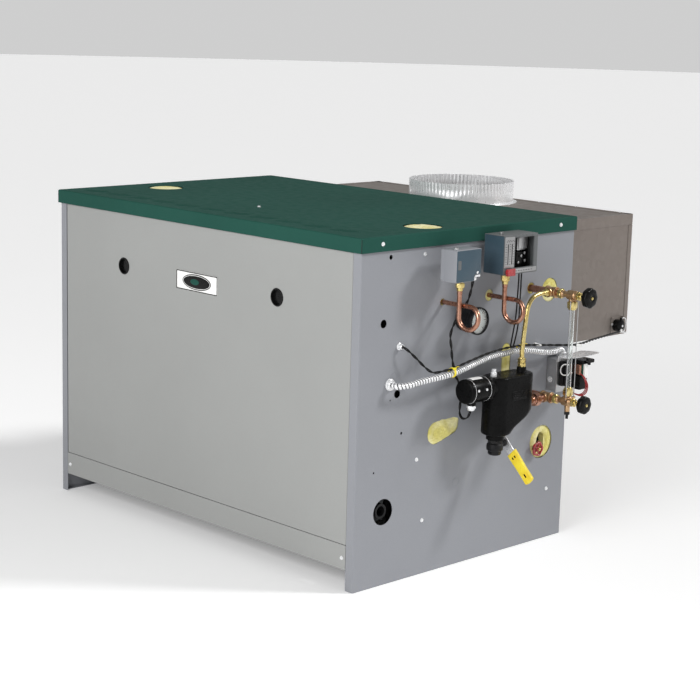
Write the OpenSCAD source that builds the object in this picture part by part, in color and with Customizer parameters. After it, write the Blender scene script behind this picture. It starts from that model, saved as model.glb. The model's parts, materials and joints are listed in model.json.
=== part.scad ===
// Gas-fired cast-iron steam boiler with its atmospheric burner assembly, draft hood and trim.
// Origin: on the floor under the centre of the jacket. +X trim side, +Y flue side, +Z up.

/* [Jacket] */
// Width of the lid
lid_w = 1394; // [1380:1:1410]
// Depth of the lid
lid_d = 916; // [910:1:930]
// Height of the lid's top face above the floor
jacket_h = 998; // [990:1:1010]
// Height of the lid's skirt
skirt_h = 42; // [30:1:43]
// Thickness of the jacket sheet
sheet_t = 1.5; // [1:0.1:2]
// How far the lid stands out past the jacket walls
lid_over = 6; // [5:0.5:8]
// Width of the side panels' front flanges
flange_w = 30; // [20:1:36]
// Bottom edge of the front door
door_z0 = 133; // [130:1:140]
// Radius of the finger holes in the front door
finger_r = 24.5; // [18:0.5:30]
// Distance of the finger holes from the middle of the door
finger_x = 356; // [200:1:500]
// Height of the finger holes
finger_z = 791; // [600:1:850]
// Width of the blank badge plate
badge_w = 191; // [120:1:240]
// Height of the blank badge plate
badge_h = 57.5; // [40:0.5:80]
// Bottom edge of the kick panel
kick_z0 = 59.5; // [40:0.5:80]
// Radius of the two riser holes in the lid
riser_hole_r = 57; // [50:0.5:60]
// Position across of the left riser
riser_left_x = -565; // [-575:1:-555]
// Position across of the right riser
riser_right_x = 603; // [593:1:608]
// Position front to back of both risers
riser_y = -123; // [-140:1:-100]

/* [Draft hood] */
// Width of the draft hood
hood_w = 1163; // [1140:1:1200]
// Depth of the draft hood
hood_d = 437; // [420:1:460]
// Bottom edge of the draft hood
hood_z0 = 571; // [540:1:600]
// Top face of the draft hood
hood_z1 = 964; // [940:1:980]
// Outer radius of the flue collar
collar_r = 178; // [150:1:180]
// Height of the flue collar
collar_h = 70; // [50:1:90]

/* [Heat exchanger and burners] */
// Number of cast-iron sections
section_n = 13; // [9:1:13]
// Gap between neighbouring sections
section_gap = 7.3; // [6:0.1:12]
// Underside of the sections
section_z0 = 330; // [325:1:340]
// Top of the sections
section_z1 = 840; // [820:1:850]
// Radius of the burner tubes
burner_r = 25; // [18:1:28]
// Height of the burners' and the gas manifold's centre line
burner_z = 215; // [210:1:218]
// Radius of the gas manifold
manifold_r = 21; // [17:1:22]

/* [Water trim] */
// Stand-off of the tees, cut-off and equalizing tube
tee_x = 772; // [768:1:776]
// Stand-off of the gauge glass
glass_x = 850; // [845:1:856]
// Position front to back of the gauge glass
glass_y = 262; // [258:1:266]
// Height of the upper gauge cock
cock_top_z = 795; // [790:1:800]
// Height of the lower gauge cock
cock_low_z = 478; // [474:1:482]
// Radius of the gauge glass
glass_r = 8; // [6:0.5:8]
// Radius of the upper cock's handwheel
wheel_r = 30; // [24:1:32]
// Radius of the siphon tubes
siphon_r = 6.85; // [5:0.05:7]
// Radius of the siphons' loops
loop_r = 32; // [28:1:34]
// Radius of the pressure gauge
gauge_r = 40; // [36:1:42]
// Height of the pressure gauge
gauge_z = 737; // [730:1:742]

/* [Low-water cut-off] */
// Radius of the cut-off's float bowl
bowl_r = 42; // [40:1:44]
// Top of the float bowl
bowl_z1 = 572; // [568:1:573]
// Radius of the switch housing
switch_r = 36; // [30:1:37]
// Height of the switch housing and of the float's pivot
switch_z = 543; // [538:1:544]
// Length of the blow-down lever past its stem
lever_l = 146; // [110:1:160]

/* [Hidden] */
$fn = 48;

lid_x = lid_w / 2;                      // outer face of the lid's side skirt
lid_y = lid_d / 2;                      // outer face of the lid's front and rear skirt
panel_x = lid_x - lid_over;             // outer face of the side panels
front_y = -(lid_y - lid_over);          // front face of the door, flanges and kick panel
skirt_z = jacket_h - skirt_h;           // lower edge of the lid's skirt
panel_z1 = jacket_h - sheet_t - 2;      // top of the side and rear panels
rear_y = lid_y - 5.5;                   // rear face of the rear panel
door_x = panel_x - flange_w - 1.5;      // half width of the door and kick panel
door_z1 = skirt_z - 1.5;                // top edge of the door
pan_t = 20;                             // depth of the door and kick panel returns
fold_r = 4;                             // outer radius of the folds
rear_flange_w = 22;                     // width of the side panels' rear flanges
hood_y0 = rear_y + 0.2;
hood_y1 = hood_y0 + hood_d;
hood_x = hood_w / 2;
collar_y = 702;
window_x = [-505, 543];                 // flue opening in the rear panel and the hood
window_z = [866, 924];

pitch = (riser_right_x - riser_left_x) / (section_n - 1);
section_t = pitch - section_gap;
section_y = [-330, 330];
section_wall = 8;
stub_x = riser_right_x + section_t / 2 + 0.3;   // where the pipe stubs meet the right-hand section
header_r = 45;
headers = [[riser_y, 780], [-250, 390], [250, 390]];
rod_yz = [[-345, 440], [-345, 740], [345, 440], [345, 740]];
manifold_y = -340;
burner_y = [-280, 400];
valve_x = [580, 655];

limit_box = [[736, -187, 864], [796, -85, 955]];
press_box = [[718, 14, 868], [793, 160, 980]];
siphon_left = [766, -137];
siphon_right = [761, 61];
tail_z = 760 + loop_r;
gauge_y = -38;
gauge_x = [693, 760];

bowl_y = [34, 126];
equal_y = 138;
float_pivot_y = 3;
stem_z = 367;
stem_y = [61, 94];
lever_tilt = 45;
drain_yz = [310, 297];
drain_x = 620;                          // where the drain pipe turns up into the right-hand section
box_y = [354, 456];
box_z = [472, 573];

// Round holes in the right-hand panel: [y, z, radius].
panel_holes = [[-338, 937, 6.5], [-359, 754, 12], [-297, 549, 12], [-326, 566, 2.5], [-324, 534, 2.5],
    [-275, 433, 4], [-381, 335, 3], [-340, burner_z, 38], [342, 312, 51.5], [-124, tail_z, 10],
    [75, tail_z, 17], [glass_y, cock_top_z, 17], [349, 782, 36], [glass_y, cock_low_z, 17],
    [gauge_y, gauge_z, 9], [-295, 684, 7], [-329, 580, 9]];
// Heads of the sheet-metal screws on the right-hand side: [y, z].
panel_screws = [[-203, 935], [-210, 346], [-179, 161], [379, 157]];

// Routes of the flexible conduit and of the leads, from one housing to the next.
conduit_pts = [[700, -329, 580], [722, -326, 580], [738, -300, 578], [745, -262, 580], [755, -205, 592],
    [760, -139, 606], [748, -45, 623], [736, 51, 635], [727, 187, 637], [727, 287, 617],
    [722, 345, 606], [714, 382, 603], [711, 398, 596], [711, 400, 586.2]];
lead_limit = [[778, -97, 863.8], [775, -98, 840], [764, -98, 805], [752, -104, 780], [748, -125, 752],
    [750, -150, 712], [755, -150, 670], [757, -146, 640], [757, -139, 621]];
lead_press_a = [[778, 100, 867.8], [777, 102, 850], [772, 106, 800], [764, 112, 740], [752, 118, 690],
    [738, 124, 650]];
lead_press_b = [[778, 112, 867.8], [777, 113, 850], [773, 117, 800], [766, 124, 740], [754, 132, 690],
    [736, 140, 652]];
lead_along = [[752, -205, 607], [757, -139, 621], [746, -45, 638], [734, 51, 650], [726, 187, 652],
    [728, 260, 641], [736, 330, 624], [760, 420, 640], [780, 520, 655], [740, 640, 665],
    [660, 760, 660], [612, 824, 640], [606, 828, 632.2]];
lead_panel = [[706, -295, 684], [716, -292, 676], [722, -275, 650], [728, -245, 615], [744, -215, 605]];
lead_switch = [[757, -139, 621], [740, -154, 602], [728, -150, 560], [726, -128, 515], [740, -104, 482],
    [758, -84, 476], [770, -76, 484.8]];
red_leads = [[790, 372, 548], [812, 368, 540], [822, 372, 515], [812, 374, 490], [785, 376, 478],
    [752, 380, 484]];

// ---------- helpers ----------

// Point on a Catmull-Rom curve through p, at segment i and fraction u.
function curve_at(p, i, u) =
    let (a = p[max(i - 1, 0)], b = p[i], c = p[i + 1], d = p[min(i + 2, len(p) - 1)])
    0.5 * (2 * b + (c - a) * u + (2 * a - 5 * b + 4 * c - d) * u * u
        + (3 * b - a - 3 * c + d) * u * u * u);

// Smooth route through p with n steps to each stretch.
function smooth(p, n) = [for (i = [0:len(p) - 2]) for (k = [0:n - 1]) curve_at(p, i, k / n), p[len(p) - 1]];

function unit(v) = v / norm(v);

// Direction of route p at point i.
function heading(p, i) = unit(p[min(i + 1, len(p) - 1)] - p[max(i - 1, 0)]);

// Cross-section frames carried along the route without twist.
function frames(p, i, n, acc) = i == len(p) ? acc :
    let (t = heading(p, i), m = unit(n - (n * t) * t)) frames(p, i + 1, m, concat(acc, [[m, cross(t, m)]]));

// Closed round tube of radius r along route p.
module sweep(p, r, sides = 12) {
    start = heading(p, 0);
    side = abs(start.z) > 0.9 ? [1, 0, 0] : [0, 0, 1];
    f = frames(p, 0, side, []);
    pts = [for (i = [0:len(p) - 1]) for (k = [0:sides - 1])
        p[i] + r * (cos(360 * k / sides) * f[i][0] + sin(360 * k / sides) * f[i][1])];
    last = (len(p) - 1) * sides;
    walls = [for (i = [0:len(p) - 2]) for (k = [0:sides - 1])
        let (a = i * sides + k, b = i * sides + (k + 1) % sides)
            each [[a, a + sides, b], [b, a + sides, b + sides]]];
    polyhedron(pts, concat(walls, [[for (k = [0:sides - 1]) k]], [[for (k = [sides - 1:-1:0]) last + k]]));
}

module block(lo, hi) translate(lo) cube(hi - lo);

// Cylinder along X, Y or Z from coordinate a to b, centred on the other two coordinates.
module along_x(a, b, yz, r, fn = 48)
    translate([a, yz[0], yz[1]]) rotate([0, 90, 0]) cylinder(r = r, h = b - a, $fn = fn);
module along_y(a, b, xz, r, fn = 48)
    translate([xz[0], a, xz[1]]) rotate([-90, 0, 0]) cylinder(r = r, h = b - a, $fn = fn);
module along_z(a, b, xy, r, fn = 48)
    translate([xy[0], xy[1], a]) cylinder(r = r, h = b - a, $fn = fn);

// Rectangle from lo to hi with corners of radius r.
module round_rect(lo, hi, r) {
    translate([lo[0] + r, lo[1]]) square([hi[0] - lo[0] - 2 * r, hi[1] - lo[1]]);
    translate([lo[0], lo[1] + r]) square([hi[0] - lo[0], hi[1] - lo[1] - 2 * r]);
    for (x = [lo[0] + r, hi[0] - r], y = [lo[1] + r, hi[1] - r]) translate([x, y]) circle(r);
}

// Rectangle from lo to hi with only its two upper corners rounded.
module top_round(lo, hi, r) {
    translate(lo) square([hi[0] - lo[0], hi[1] - lo[1] - r]);
    translate([lo[0] + r, lo[1]]) square([hi[0] - lo[0] - 2 * r, hi[1] - lo[1]]);
    for (x = [lo[0] + r, hi[0] - r]) translate([x, hi[1] - r]) circle(r);
}

// Extrudes a (y, z) outline from x = a to x = b, or an (x, z) outline from y = a to y = b.
module plate_x(a, b) translate([a, 0, 0]) rotate([90, 0, 90]) linear_extrude(b - a) children();
module plate_y(a, b) translate([0, b, 0]) rotate([90, 0, 0]) linear_extrude(b - a) children();

// ---------- jacket ----------

module base_frame() color("dimgray") difference() {
    base_walls();
    along_x(600, 665, drain_yz, 14);
    along_z(drain_yz[1], section_z0, [drain_x, drain_yz[0]], 14);
}

// Pedestal: side walls with ledges under the end sections, rear and front beams, pan and burner rests.
module base_walls() {
    block([-645, -300, 0], [-621, 440, 322]);
    block([640, -300, 0], [664, 440, 322]);
    block([-645, -300, 322], [-575, 440, section_z0 - 0.2]);
    block([594, -300, 322], [664, 440, section_z0 - 0.2]);
    block([-621, 416, 0], [640, 440, 322]);
    block([-621, -300, 290], [640, -276, 322]);
    block([-621, -300, 58], [640, 416, 62]);
    block([-20, -300, 0], [20, 416, 58]);
    for (y = [-276, 380])
        block([-621, y, burner_z - burner_r - 10], [640, y + 12, burner_z - burner_r - 0.1]);
}

// Plan of the right-hand side panel: the side sheet folded over to a front and a rear flange.
module side_plan() intersection() {
    difference() {
        round_rect([panel_x - 100, front_y], [panel_x, lid_y - 2], fold_r);
        round_rect([panel_x - 90, front_y + sheet_t], [panel_x - sheet_t, lid_y - 2 - sheet_t], fold_r - sheet_t);
    }
    union() {
        translate([panel_x - flange_w, front_y - 1]) square([flange_w + 1, 40]);
        translate([panel_x - rear_flange_w, front_y + 30]) square([rear_flange_w + 1, lid_d]);
    }
}

// Side panel with its top and bottom returns. s is -1 left, 1 right.
module side_shell(s) mirror([s < 0 ? 1 : 0, 0, 0]) {
    linear_extrude(panel_z1) side_plan();
    for (z = [0, panel_z1 - sheet_t])
        block([panel_x - 20, front_y + sheet_t, z], [panel_x - sheet_t, lid_y - 2 - sheet_t, z + sheet_t]);
}

module side_panel_left() color("slategray") difference() {
    side_shell(-1);
    for (h = [[-340, burner_z, 38], [342, 312, 51.5], [-359, 754, 12]])
        along_x(-panel_x - 5, -panel_x + 5, h, h[2]);
}

module pear_opening() {
    hull() {
        translate([-134, 412]) circle(33, $fn = 32);
        translate([-62, 424]) circle(24, $fn = 32);
        translate([-44, 436]) circle(8, $fn = 32);
    }
}

module side_panel_right() color("slategray") difference() {
    side_shell(1);
    for (h = panel_holes) along_x(panel_x - 5, panel_x + 5, h, h[2]);
    plate_x(panel_x - 5, panel_x + 5) pear_opening();
    plate_x(panel_x - 5, panel_x + 5) round_rect([142, 520], [182, 640], 19.9);
}

module rear_panel() color("gray") difference() {
    block([-panel_x + 24, rear_y - sheet_t, 60], [panel_x - 24, rear_y, panel_z1 - sheet_t]);
    block([window_x[0], rear_y - 5, window_z[0]], [window_x[1], rear_y + 5, window_z[1]]);
}

// One group of slanted vent slots in the lid.
module vent_group(x) {
    for (k = [-3:3]) translate([x + k * 12, -383, jacket_h - 5]) rotate([0, 0, -35])
        block([-2.2, -30 + 3 * abs(k), 0], [2.2, 30 - 3 * abs(k), 10]);
}

// Lid-shaped solid from z0 up, smaller by d all round, with its four top edges rounded.
module lid_mass(d, z0) intersection() {
    plate_x(-lid_x + d, lid_x - d) top_round([-lid_y + d, z0], [lid_y - d, jacket_h - d], fold_r - d);
    plate_y(-lid_y + d, lid_y - d) top_round([-lid_x + d, z0], [lid_x - d, jacket_h - d], fold_r - d);
}

module jacket_lid() color("seagreen") difference() {
    lid_mass(0, skirt_z);
    lid_mass(sheet_t, skirt_z - 1);
    block([-hood_x - 1, lid_y - 3, skirt_z - 1], [hood_x + 1, lid_y + 1, hood_z1 + 0.5]);
    for (x = [riser_left_x, riser_right_x]) along_z(jacket_h - 5, jacket_h + 5, [x, riser_y], riser_hole_r);
    for (k = [0:10]) vent_group(-588 + k * 114);
}

// Plan of the door: its front sheet with a return folded back at each side.
module door_plan() intersection() {
    difference() {
        round_rect([-door_x, front_y], [door_x, front_y + 2 * pan_t], fold_r);
        round_rect([-door_x + sheet_t, front_y + sheet_t], [door_x - sheet_t, front_y + 3 * pan_t], fold_r - sheet_t);
    }
    translate([-door_x - 1, front_y - 1]) square([2 * door_x + 2, pan_t + 1]);
}

module front_door() color("lightgray") difference() {
    union() {
        translate([0, 0, door_z0]) linear_extrude(door_z1 - door_z0) door_plan();
        for (z = [door_z0, door_z1 - sheet_t])
            block([-door_x + sheet_t, front_y + sheet_t, z], [door_x - sheet_t, front_y + pan_t, z + sheet_t]);
    }
    for (x = [-finger_x, finger_x]) along_y(front_y - 5, front_y + 5, [x, finger_z], finger_r);
}

module badge_plate() color("silver")
    translate([0, front_y, 786]) rotate([90, 0, 0]) linear_extrude(1.2)
        round_rect([-badge_w / 2, -badge_h / 2], [badge_w / 2, badge_h / 2], 3);

module kick_panel() color("lightgray") {
    block([-door_x, front_y, kick_z0], [door_x, front_y + sheet_t, door_z0 - 2]);
    block([-door_x, front_y + sheet_t, door_z0 - 2 - sheet_t], [door_x, front_y + pan_t, door_z0 - 2]);
    block([-door_x, front_y + sheet_t, kick_z0], [door_x, front_y + pan_t, kick_z0 + sheet_t]);
}

module screw_head() {
    cylinder(r = 6, h = 0.8);
    translate([0, 0, 0.8]) cylinder(r = 4.2, h = 3, $fn = 6);
}

module sheet_screws() color("gainsboro") {
    for (p = panel_screws) translate([panel_x, p[0], p[1]]) rotate([0, 90, 0]) screw_head();
    for (s = [-1, 1], y = [-377, 381]) translate([s * lid_x, y, 977]) rotate([0, s * 90, 0]) screw_head();
    for (s = [-1, 1]) translate([s * (door_x - 14), front_y, 93]) rotate([90, 0, 0]) screw_head();
    translate([10, -220, jacket_h]) screw_head();
    for (x = [-540, -360, -200, 200, 360, 540], y = [hood_y0 + 14, hood_y1 - 14])
        translate([x, y, hood_z1]) screw_head();
    for (s = [-1, 1], z = [600, 760, 930])
        translate([s * hood_x, hood_y0 + 16, z]) rotate([0, s * 90, 0]) screw_head();
}

module top_insulation() color("khaki") difference() {
    block([-664, -320, 960], [664, 440, 988]);
    for (k = [0:3]) along_z(955, 962, [-480 + 320 * k, 200], 6);
}

module side_insulation() color("khaki") {
    difference() {
        block([664.5, -240, 240], [panel_x - sheet_t - 0.3, 440, 950]);
        for (h = [[-124, tail_z, 12], [75, tail_z, 14], [glass_y, cock_top_z, 15], [glass_y, cock_low_z, 15],
                [gauge_y, gauge_z, 10], [drain_yz[0] + 8, drain_yz[1] + 4, 40]])
            along_x(660, panel_x + 1, h, h[2]);
    }
    block([-panel_x + sheet_t + 0.3, -240, 240], [-664.5, 440, 950]);
}

// ---------- heat exchanger ----------

// Casting outline in (y, z), inset by d.
module section_face(d)
    round_rect([section_y[0] + d, section_z0 + d], [section_y[1] - d, section_z1 - d], 60 - d);

// Hollow casting centred on x. The header openings cut through its walls from x0 to x1.
module casting(x, x0, x1) difference() {
    plate_x(x - section_t / 2, x + section_t / 2) section_face(0);
    plate_x(x - section_t / 2 + section_wall, x + section_t / 2 - section_wall) section_face(section_wall + 2);
    for (h = headers) along_x(x0, x1, h, header_r);
}

// End casting with its outer wall closed, tie-rod lugs and the riser boss. s is -1 left, 1 right.
module end_section(x, s) difference() {
    union() {
        casting(x, s < 0 ? x : x - section_t, s < 0 ? x + section_t : x);
        for (p = rod_yz)
            plate_x(x - 12, x + 12) translate([sign(p[0]) * 350, p[1]]) square([40, 50], center = true);
        along_z(section_z1 - 5, 905, [x, riser_y], 52);
    }
    along_z(section_z1 - 20, 906, [x, riser_y], 42);
    for (p = rod_yz) along_x(x - 20, x + 20, p, 9);
}

module section_left() color("dimgray") end_section(riser_left_x, -1);

module section_right() color("dimgray") difference() {
    end_section(riser_right_x, 1);
    along_z(section_z0 - 5, section_z0 + 40, [drain_x, drain_yz[0]], 9.6);
}

module sections_mid() color("dimgray")
    for (i = [1:section_n - 2]) {
        x = riser_left_x + i * pitch;
        casting(x, x - section_t, x + section_t);
    }

module push_nipples() color("gray")
    for (i = [0:section_n - 2], h = headers) {
        x = riser_left_x + (i + 0.5) * pitch;
        difference() {
            along_x(x - 14, x + 14, h, header_r - 0.1);
            along_x(x - 15, x + 15, h, header_r - 6);
        }
    }

module tie_rods() color("silver")
    for (p = rod_yz) {
        along_x(riser_left_x - 38, riser_right_x + 38, p, 8);
        along_x(riser_left_x - 26, riser_left_x - 12.2, p, 14, 6);
        along_x(riser_right_x + 12.2, riser_right_x + 26, p, 14, 6);
    }

// Sheet-metal breeching over the sections, open below to them and behind to the hood.
module flue_collector() color("gray") difference() {
    union() {
        block([window_x[0] - 3, -290, section_z1 + 0.2], [window_x[1] + 3, 330, window_z[1] + 3]);
        block([window_x[0] - 3, 330, window_z[0] - 3],
            [window_x[1] + 3, rear_y - sheet_t - 0.2, window_z[1] + 3]);
    }
    block([window_x[0], -287, section_z1 - 1], [window_x[1], 327, window_z[1]]);
    block([window_x[0], 320, window_z[0]], [window_x[1], rear_y + 1, window_z[1]]);
}

module draft_hood() color("rosybrown") difference() {
    block([-hood_x, hood_y0, hood_z0], [hood_x, hood_y1, hood_z1]);
    block([-hood_x + sheet_t, hood_y0 + sheet_t, hood_z0 - 1],
        [hood_x - sheet_t, hood_y1 - sheet_t, hood_z1 - sheet_t]);
    block([window_x[0], hood_y0 - 5, window_z[0]], [window_x[1], hood_y0 + 5, window_z[1]]);
    along_z(hood_z1 - 5, hood_z1 + 5, [0, collar_y], collar_r - 2);
}

module flue_collar() color("lightgray") translate([0, collar_y, hood_z1]) difference() {
    union() {
        cylinder(r = collar_r, h = collar_h);
        cylinder(r = collar_r + 12, h = 1.2);
    }
    translate([0, 0, -1]) cylinder(r = collar_r - 1.5, h = collar_h + 2);
}

// ---------- burners and gas train ----------

module base_liner() color("wheat") block([-616, -262, 62.2], [636, 378, 82]);

// Steel burner tube with a flared mouth and a row of ports along its top.
module burner_tube(x) translate([x, burner_y[0], burner_z]) difference() {
    union() {
        rotate([-90, 0, 0]) cylinder(r = burner_r, h = burner_y[1] - burner_y[0]);
        rotate([-90, 0, 0]) cylinder(r = burner_r + 5, h = 3);
    }
    translate([0, -1, 0]) rotate([-90, 0, 0]) cylinder(r = burner_r - 2, h = burner_y[1] - burner_y[0] - 2);
    for (k = [0:7]) translate([-9, 130 + 64 * k, burner_r - 6]) cube([18, 24, 10]);
}

module burner_tubes() color("silver")
    for (i = [0:section_n - 2]) burner_tube(riser_left_x + (i + 0.5) * pitch);

module gas_manifold() color("black") difference() {
    union() {
        along_x(-560, valve_x[0] - 0.1, [manifold_y, burner_z], manifold_r);
        along_x(-572, -540, [manifold_y, burner_z], manifold_r + 4);
    }
    along_x(-550, valve_x[0] + 1, [manifold_y, burner_z], manifold_r - 3.5);
    for (i = [0:section_n - 2])
        along_y(manifold_y, manifold_y + 30, [riser_left_x + (i + 0.5) * pitch, burner_z], 6.1);
}

module gas_orifices() color("goldenrod")
    for (i = [0:section_n - 2]) {
        x = riser_left_x + (i + 0.5) * pitch;
        difference() {
            union() {
                along_y(manifold_y + manifold_r - 3, manifold_y + manifold_r + 4, [x, burner_z], 6);
                along_y(manifold_y + manifold_r + 4, manifold_y + manifold_r + 16, [x, burner_z], 9, 6);
                along_y(manifold_y + manifold_r + 16, manifold_y + manifold_r + 26, [x, burner_z], 5);
            }
            along_y(manifold_y + manifold_r - 4, manifold_y + manifold_r + 27, [x, burner_z], 1.4);
        }
    }

module gas_valve() color("lightsteelblue") difference() {
    union() {
        block([valve_x[0], -378, 178], [valve_x[1], -302, 250]);
        along_z(250, 256, [618, manifold_y], 24);
        along_y(-388, -378, [600, 200], 9);
        along_y(-388, -378, [636, 200], 9);
        block([590, -386, 222], [646, -378, 244]);
    }
    along_x(valve_x[0] - 1, valve_x[0] + 24, [manifold_y, burner_z], 15);
    along_x(valve_x[1] - 24, valve_x[1] + 1, [manifold_y, burner_z], 15);
    along_z(240, 257, [618, manifold_y], 5);
    along_z(170, 186, [600, manifold_y], 3.4);
}

module gas_valve_knob() color("black") {
    along_z(242, 256.4, [618, manifold_y], 4.95);
    difference() {
        along_z(256.4, 274, [618, manifold_y], 19);
        for (k = [0:11]) rotate_about([618, manifold_y], k * 30) along_z(258, 275, [639, manifold_y], 3);
    }
    block([616.5, manifold_y + 2, 274], [619.5, manifold_y + 18, 276]);
}

// Turns its children by an angle about the vertical through c.
module rotate_about(c, a) translate([c[0], c[1], 0]) rotate([0, 0, a]) translate([-c[0], -c[1], 0]) children();

module pilot_assembly() color("silver") {
    block([496, -262, 196], [512, -259, 262]);
    along_y(-259, -236, [504, 250], 6);
    block([497, -240, 240], [511, -226, 243.5]);
    sweep(smooth([[600, -340, 185.6], [600, -340, 168], [585, -322, 160], [545, -300, 164], [512, -290, 190],
        [505, -270, 206]], 4), 3, 8);
    along_y(-274, -262, [504, 207], 5);
}

module gas_supply_pipe() color("dimgray") difference() {
    along_x(valve_x[1] + 0.1, 682, [manifold_y, burner_z], 22);
    along_x(valve_x[1], 683, [manifold_y, burner_z], 15.2);
}

// ---------- pressure controls and siphons ----------

// Box from limit_box with a notch under its rear corner, shrunk by d on every side.
module limit_shape(d) {
    block(limit_box[0] + [d, d, d], limit_box[1] - [d, 26 + d, d]);
    block([limit_box[0].x + d, limit_box[0].y + d, limit_box[0].z + 18 + d], limit_box[1] - [d, d, d]);
}

module limit_control_case() color("steelblue") difference() {
    limit_shape(0);
    limit_shape(1.5);
    along_z(limit_box[1].z - 3, limit_box[1].z + 1, [776, -168], 3);
}

module adjusting_screw(xy, z) {
    along_z(z - 20, z + 1.2, xy, 2.95);
    difference() {
        along_z(z + 1.2, z + 6, xy, 6);
        block([xy[0] - 7, xy[1] - 0.7, z + 4], [xy[0] + 7, xy[1] + 0.7, z + 7]);
    }
}

module limit_control_screw() color("silver") adjusting_screw([776, -168], limit_box[1].z);

module pressure_control_case() color("gray") difference() {
    block(press_box[0], press_box[1]);
    block(press_box[0] + [1.5, 1.5, 3], press_box[1] - [3, 1.5, 1.5]);
    block([press_box[1].x - 5, 61, 886], [press_box[1].x + 1, 144, 972]);
    block([press_box[1].x - 5, 24, 871], [press_box[1].x + 1, 50, 882]);
    along_z(press_box[1].z - 3, press_box[1].z + 1, [755, 44], 3);
}

module pressure_control_switch() color("black") {
    block([719.7, 66, 871.2], [724, 140, 974]);
    block([724, 92, 878], [770, 136, 924]);
    along_y(92, 128, [748, 950], 12);
    along_x(770, 780, [114, 901], 9);
    block([724, 96, 930], [742, 124, 948]);
}

module pressure_control_screw() color("silver") adjusting_screw([755, 44], press_box[1].z);

module reset_button() color("firebrick") {
    block([780, 24.3, 871.3], [798, 49.7, 881.7]);
    block([798, 21, 866], [805, 53, 886]);
}

// Pigtail siphon: down from the control, once round, and back to the jacket.
function pigtail(x, y) = concat(
    [for (z = [838, 812, 786]) [x, y, z]],
    [for (k = [0:18]) let (a = 180 + 15 * k)
        [x + loop_r + loop_r * cos(a), y + 14.4 * k / 18, 760 + loop_r * sin(a)]],
    [for (u = [0.25, 0.5, 0.75, 1]) [(1 - u) * (x + loop_r) + u * (stub_x + 0.3), y + 14.6, tail_z]]);

module siphons() color("peru") {
    sweep(pigtail(siphon_left[0], siphon_left[1]), siphon_r);
    sweep(pigtail(siphon_right[0], siphon_right[1]), siphon_r);
}

module siphon_fittings() color("darkgoldenrod") {
    for (s = [[siphon_left, limit_box[0].z], [siphon_right, press_box[0].z]]) {
        along_z(838.2, 848, s[0], 9);
        along_z(848, s[1] - 4, s[0], 12, 6);
        along_z(s[1] - 4, s[1] - 0.1, s[0], 9);
    }
    along_x(stub_x, gauge_x[0] - 0.1, [gauge_y, gauge_z], 7);
}

module gauge_case() color("black") difference() {
    along_x(gauge_x[0], gauge_x[1], [gauge_y, gauge_z], gauge_r);
    along_x(gauge_x[1] - 14, gauge_x[1] + 1, [gauge_y, gauge_z], gauge_r - 3.5);
    along_x(gauge_x[1] - 30, gauge_x[1], [gauge_y, gauge_z], 2.1);
}

module gauge_dial() color("white") difference() {
    along_x(gauge_x[1] - 13.9, gauge_x[1] - 13, [gauge_y, gauge_z], gauge_r - 3.8);
    along_x(gauge_x[1] - 15, gauge_x[1] - 12, [gauge_y, gauge_z], 3);
}

module gauge_pointer() color("black") {
    along_x(gauge_x[1] - 28, gauge_x[1] - 8, [gauge_y, gauge_z], 2);
    along_x(gauge_x[1] - 11, gauge_x[1] - 9, [gauge_y, gauge_z], 4.5);
    translate([gauge_x[1] - 10.6, gauge_y, gauge_z]) rotate([135, 0, 0]) rotate([90, 0, 90])
        linear_extrude(1) polygon([[-2.4, -12], [2.4, -12], [1.4, 0], [0.4, 29], [-0.4, 29], [-1.4, 0]]);
}

module gauge_lens() color([0.8, 0.9, 1, 0.3])
    along_x(gauge_x[1] - 5.5, gauge_x[1] - 3.5, [gauge_y, gauge_z], gauge_r - 3.7);

// ---------- gauge glass set ----------

module hex_x(a, b, yz, r) along_x(a, b, yz, r, 6);

// One gauge cock: inlet shank, body, stem gland and the nut that grips the glass. d is -1 for
// a glass that hangs below it and 1 for a glass that stands on it.
module gauge_cock(z, d) difference() {
    union() {
        hex_x(tee_x + 27, tee_x + 41, [glass_y, z], 15);
        along_x(tee_x + 41, glass_x - 16, [glass_y, z], 10);
        along_x(glass_x - 16, glass_x + 18, [glass_y, z], 14);
        hex_x(glass_x + 18, glass_x + 28, [glass_y, z], 13);
        along_x(glass_x + 28, glass_x + 36, [glass_y, z], 8);
        along_z(min(z, z + d * 22), max(z, z + d * 22), [glass_x, glass_y], 11);
        along_z(min(z + d * 18, z + d * 43), max(z + d * 18, z + d * 43), [glass_x, glass_y], 15, 6);
        block([glass_x + 4, glass_y - 22, min(z + d * 9, z + d * 14)],
            [glass_x + 12, glass_y + 22, max(z + d * 9, z + d * 14)]);
    }
    along_z(min(z + d * 20, z + d * 44), max(z + d * 20, z + d * 44), [glass_x, glass_y], glass_r + 0.4);
    along_x(glass_x + 20, glass_x + 40, [glass_y, z], 4.05);
}

module gauge_cocks() color("goldenrod") {
    gauge_cock(cock_top_z, -1);
    gauge_cock(cock_low_z, 1);
    along_z(cock_low_z - 30, cock_low_z - 13.9, [glass_x, glass_y], 7);
    along_z(cock_low_z - 42, cock_low_z - 30, [glass_x, glass_y], 4.5);
}

// Handwheel with its stem, on the X axis through the cock at height z.
module cock_wheel(z, r) {
    along_x(glass_x + 22, glass_x + 53, [glass_y, z], 4);
    difference() {
        along_x(glass_x + 53, glass_x + 71, [glass_y, z], r);
        for (k = [0:7]) translate([0, glass_y, z]) rotate([45 * k + 22.5, 0, 0])
            along_x(glass_x + 52, glass_x + 72, [0, r + 4], 7);
        along_x(glass_x + 67, glass_x + 72, [glass_y, z], r * 0.55);
    }
    along_x(glass_x + 66, glass_x + 72, [glass_y, z], 6, 6);
}

module cock_wheel_top() color("black") cock_wheel(cock_top_z, wheel_r);
module cock_wheel_low() color("black") cock_wheel(cock_low_z, wheel_r - 3);

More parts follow.
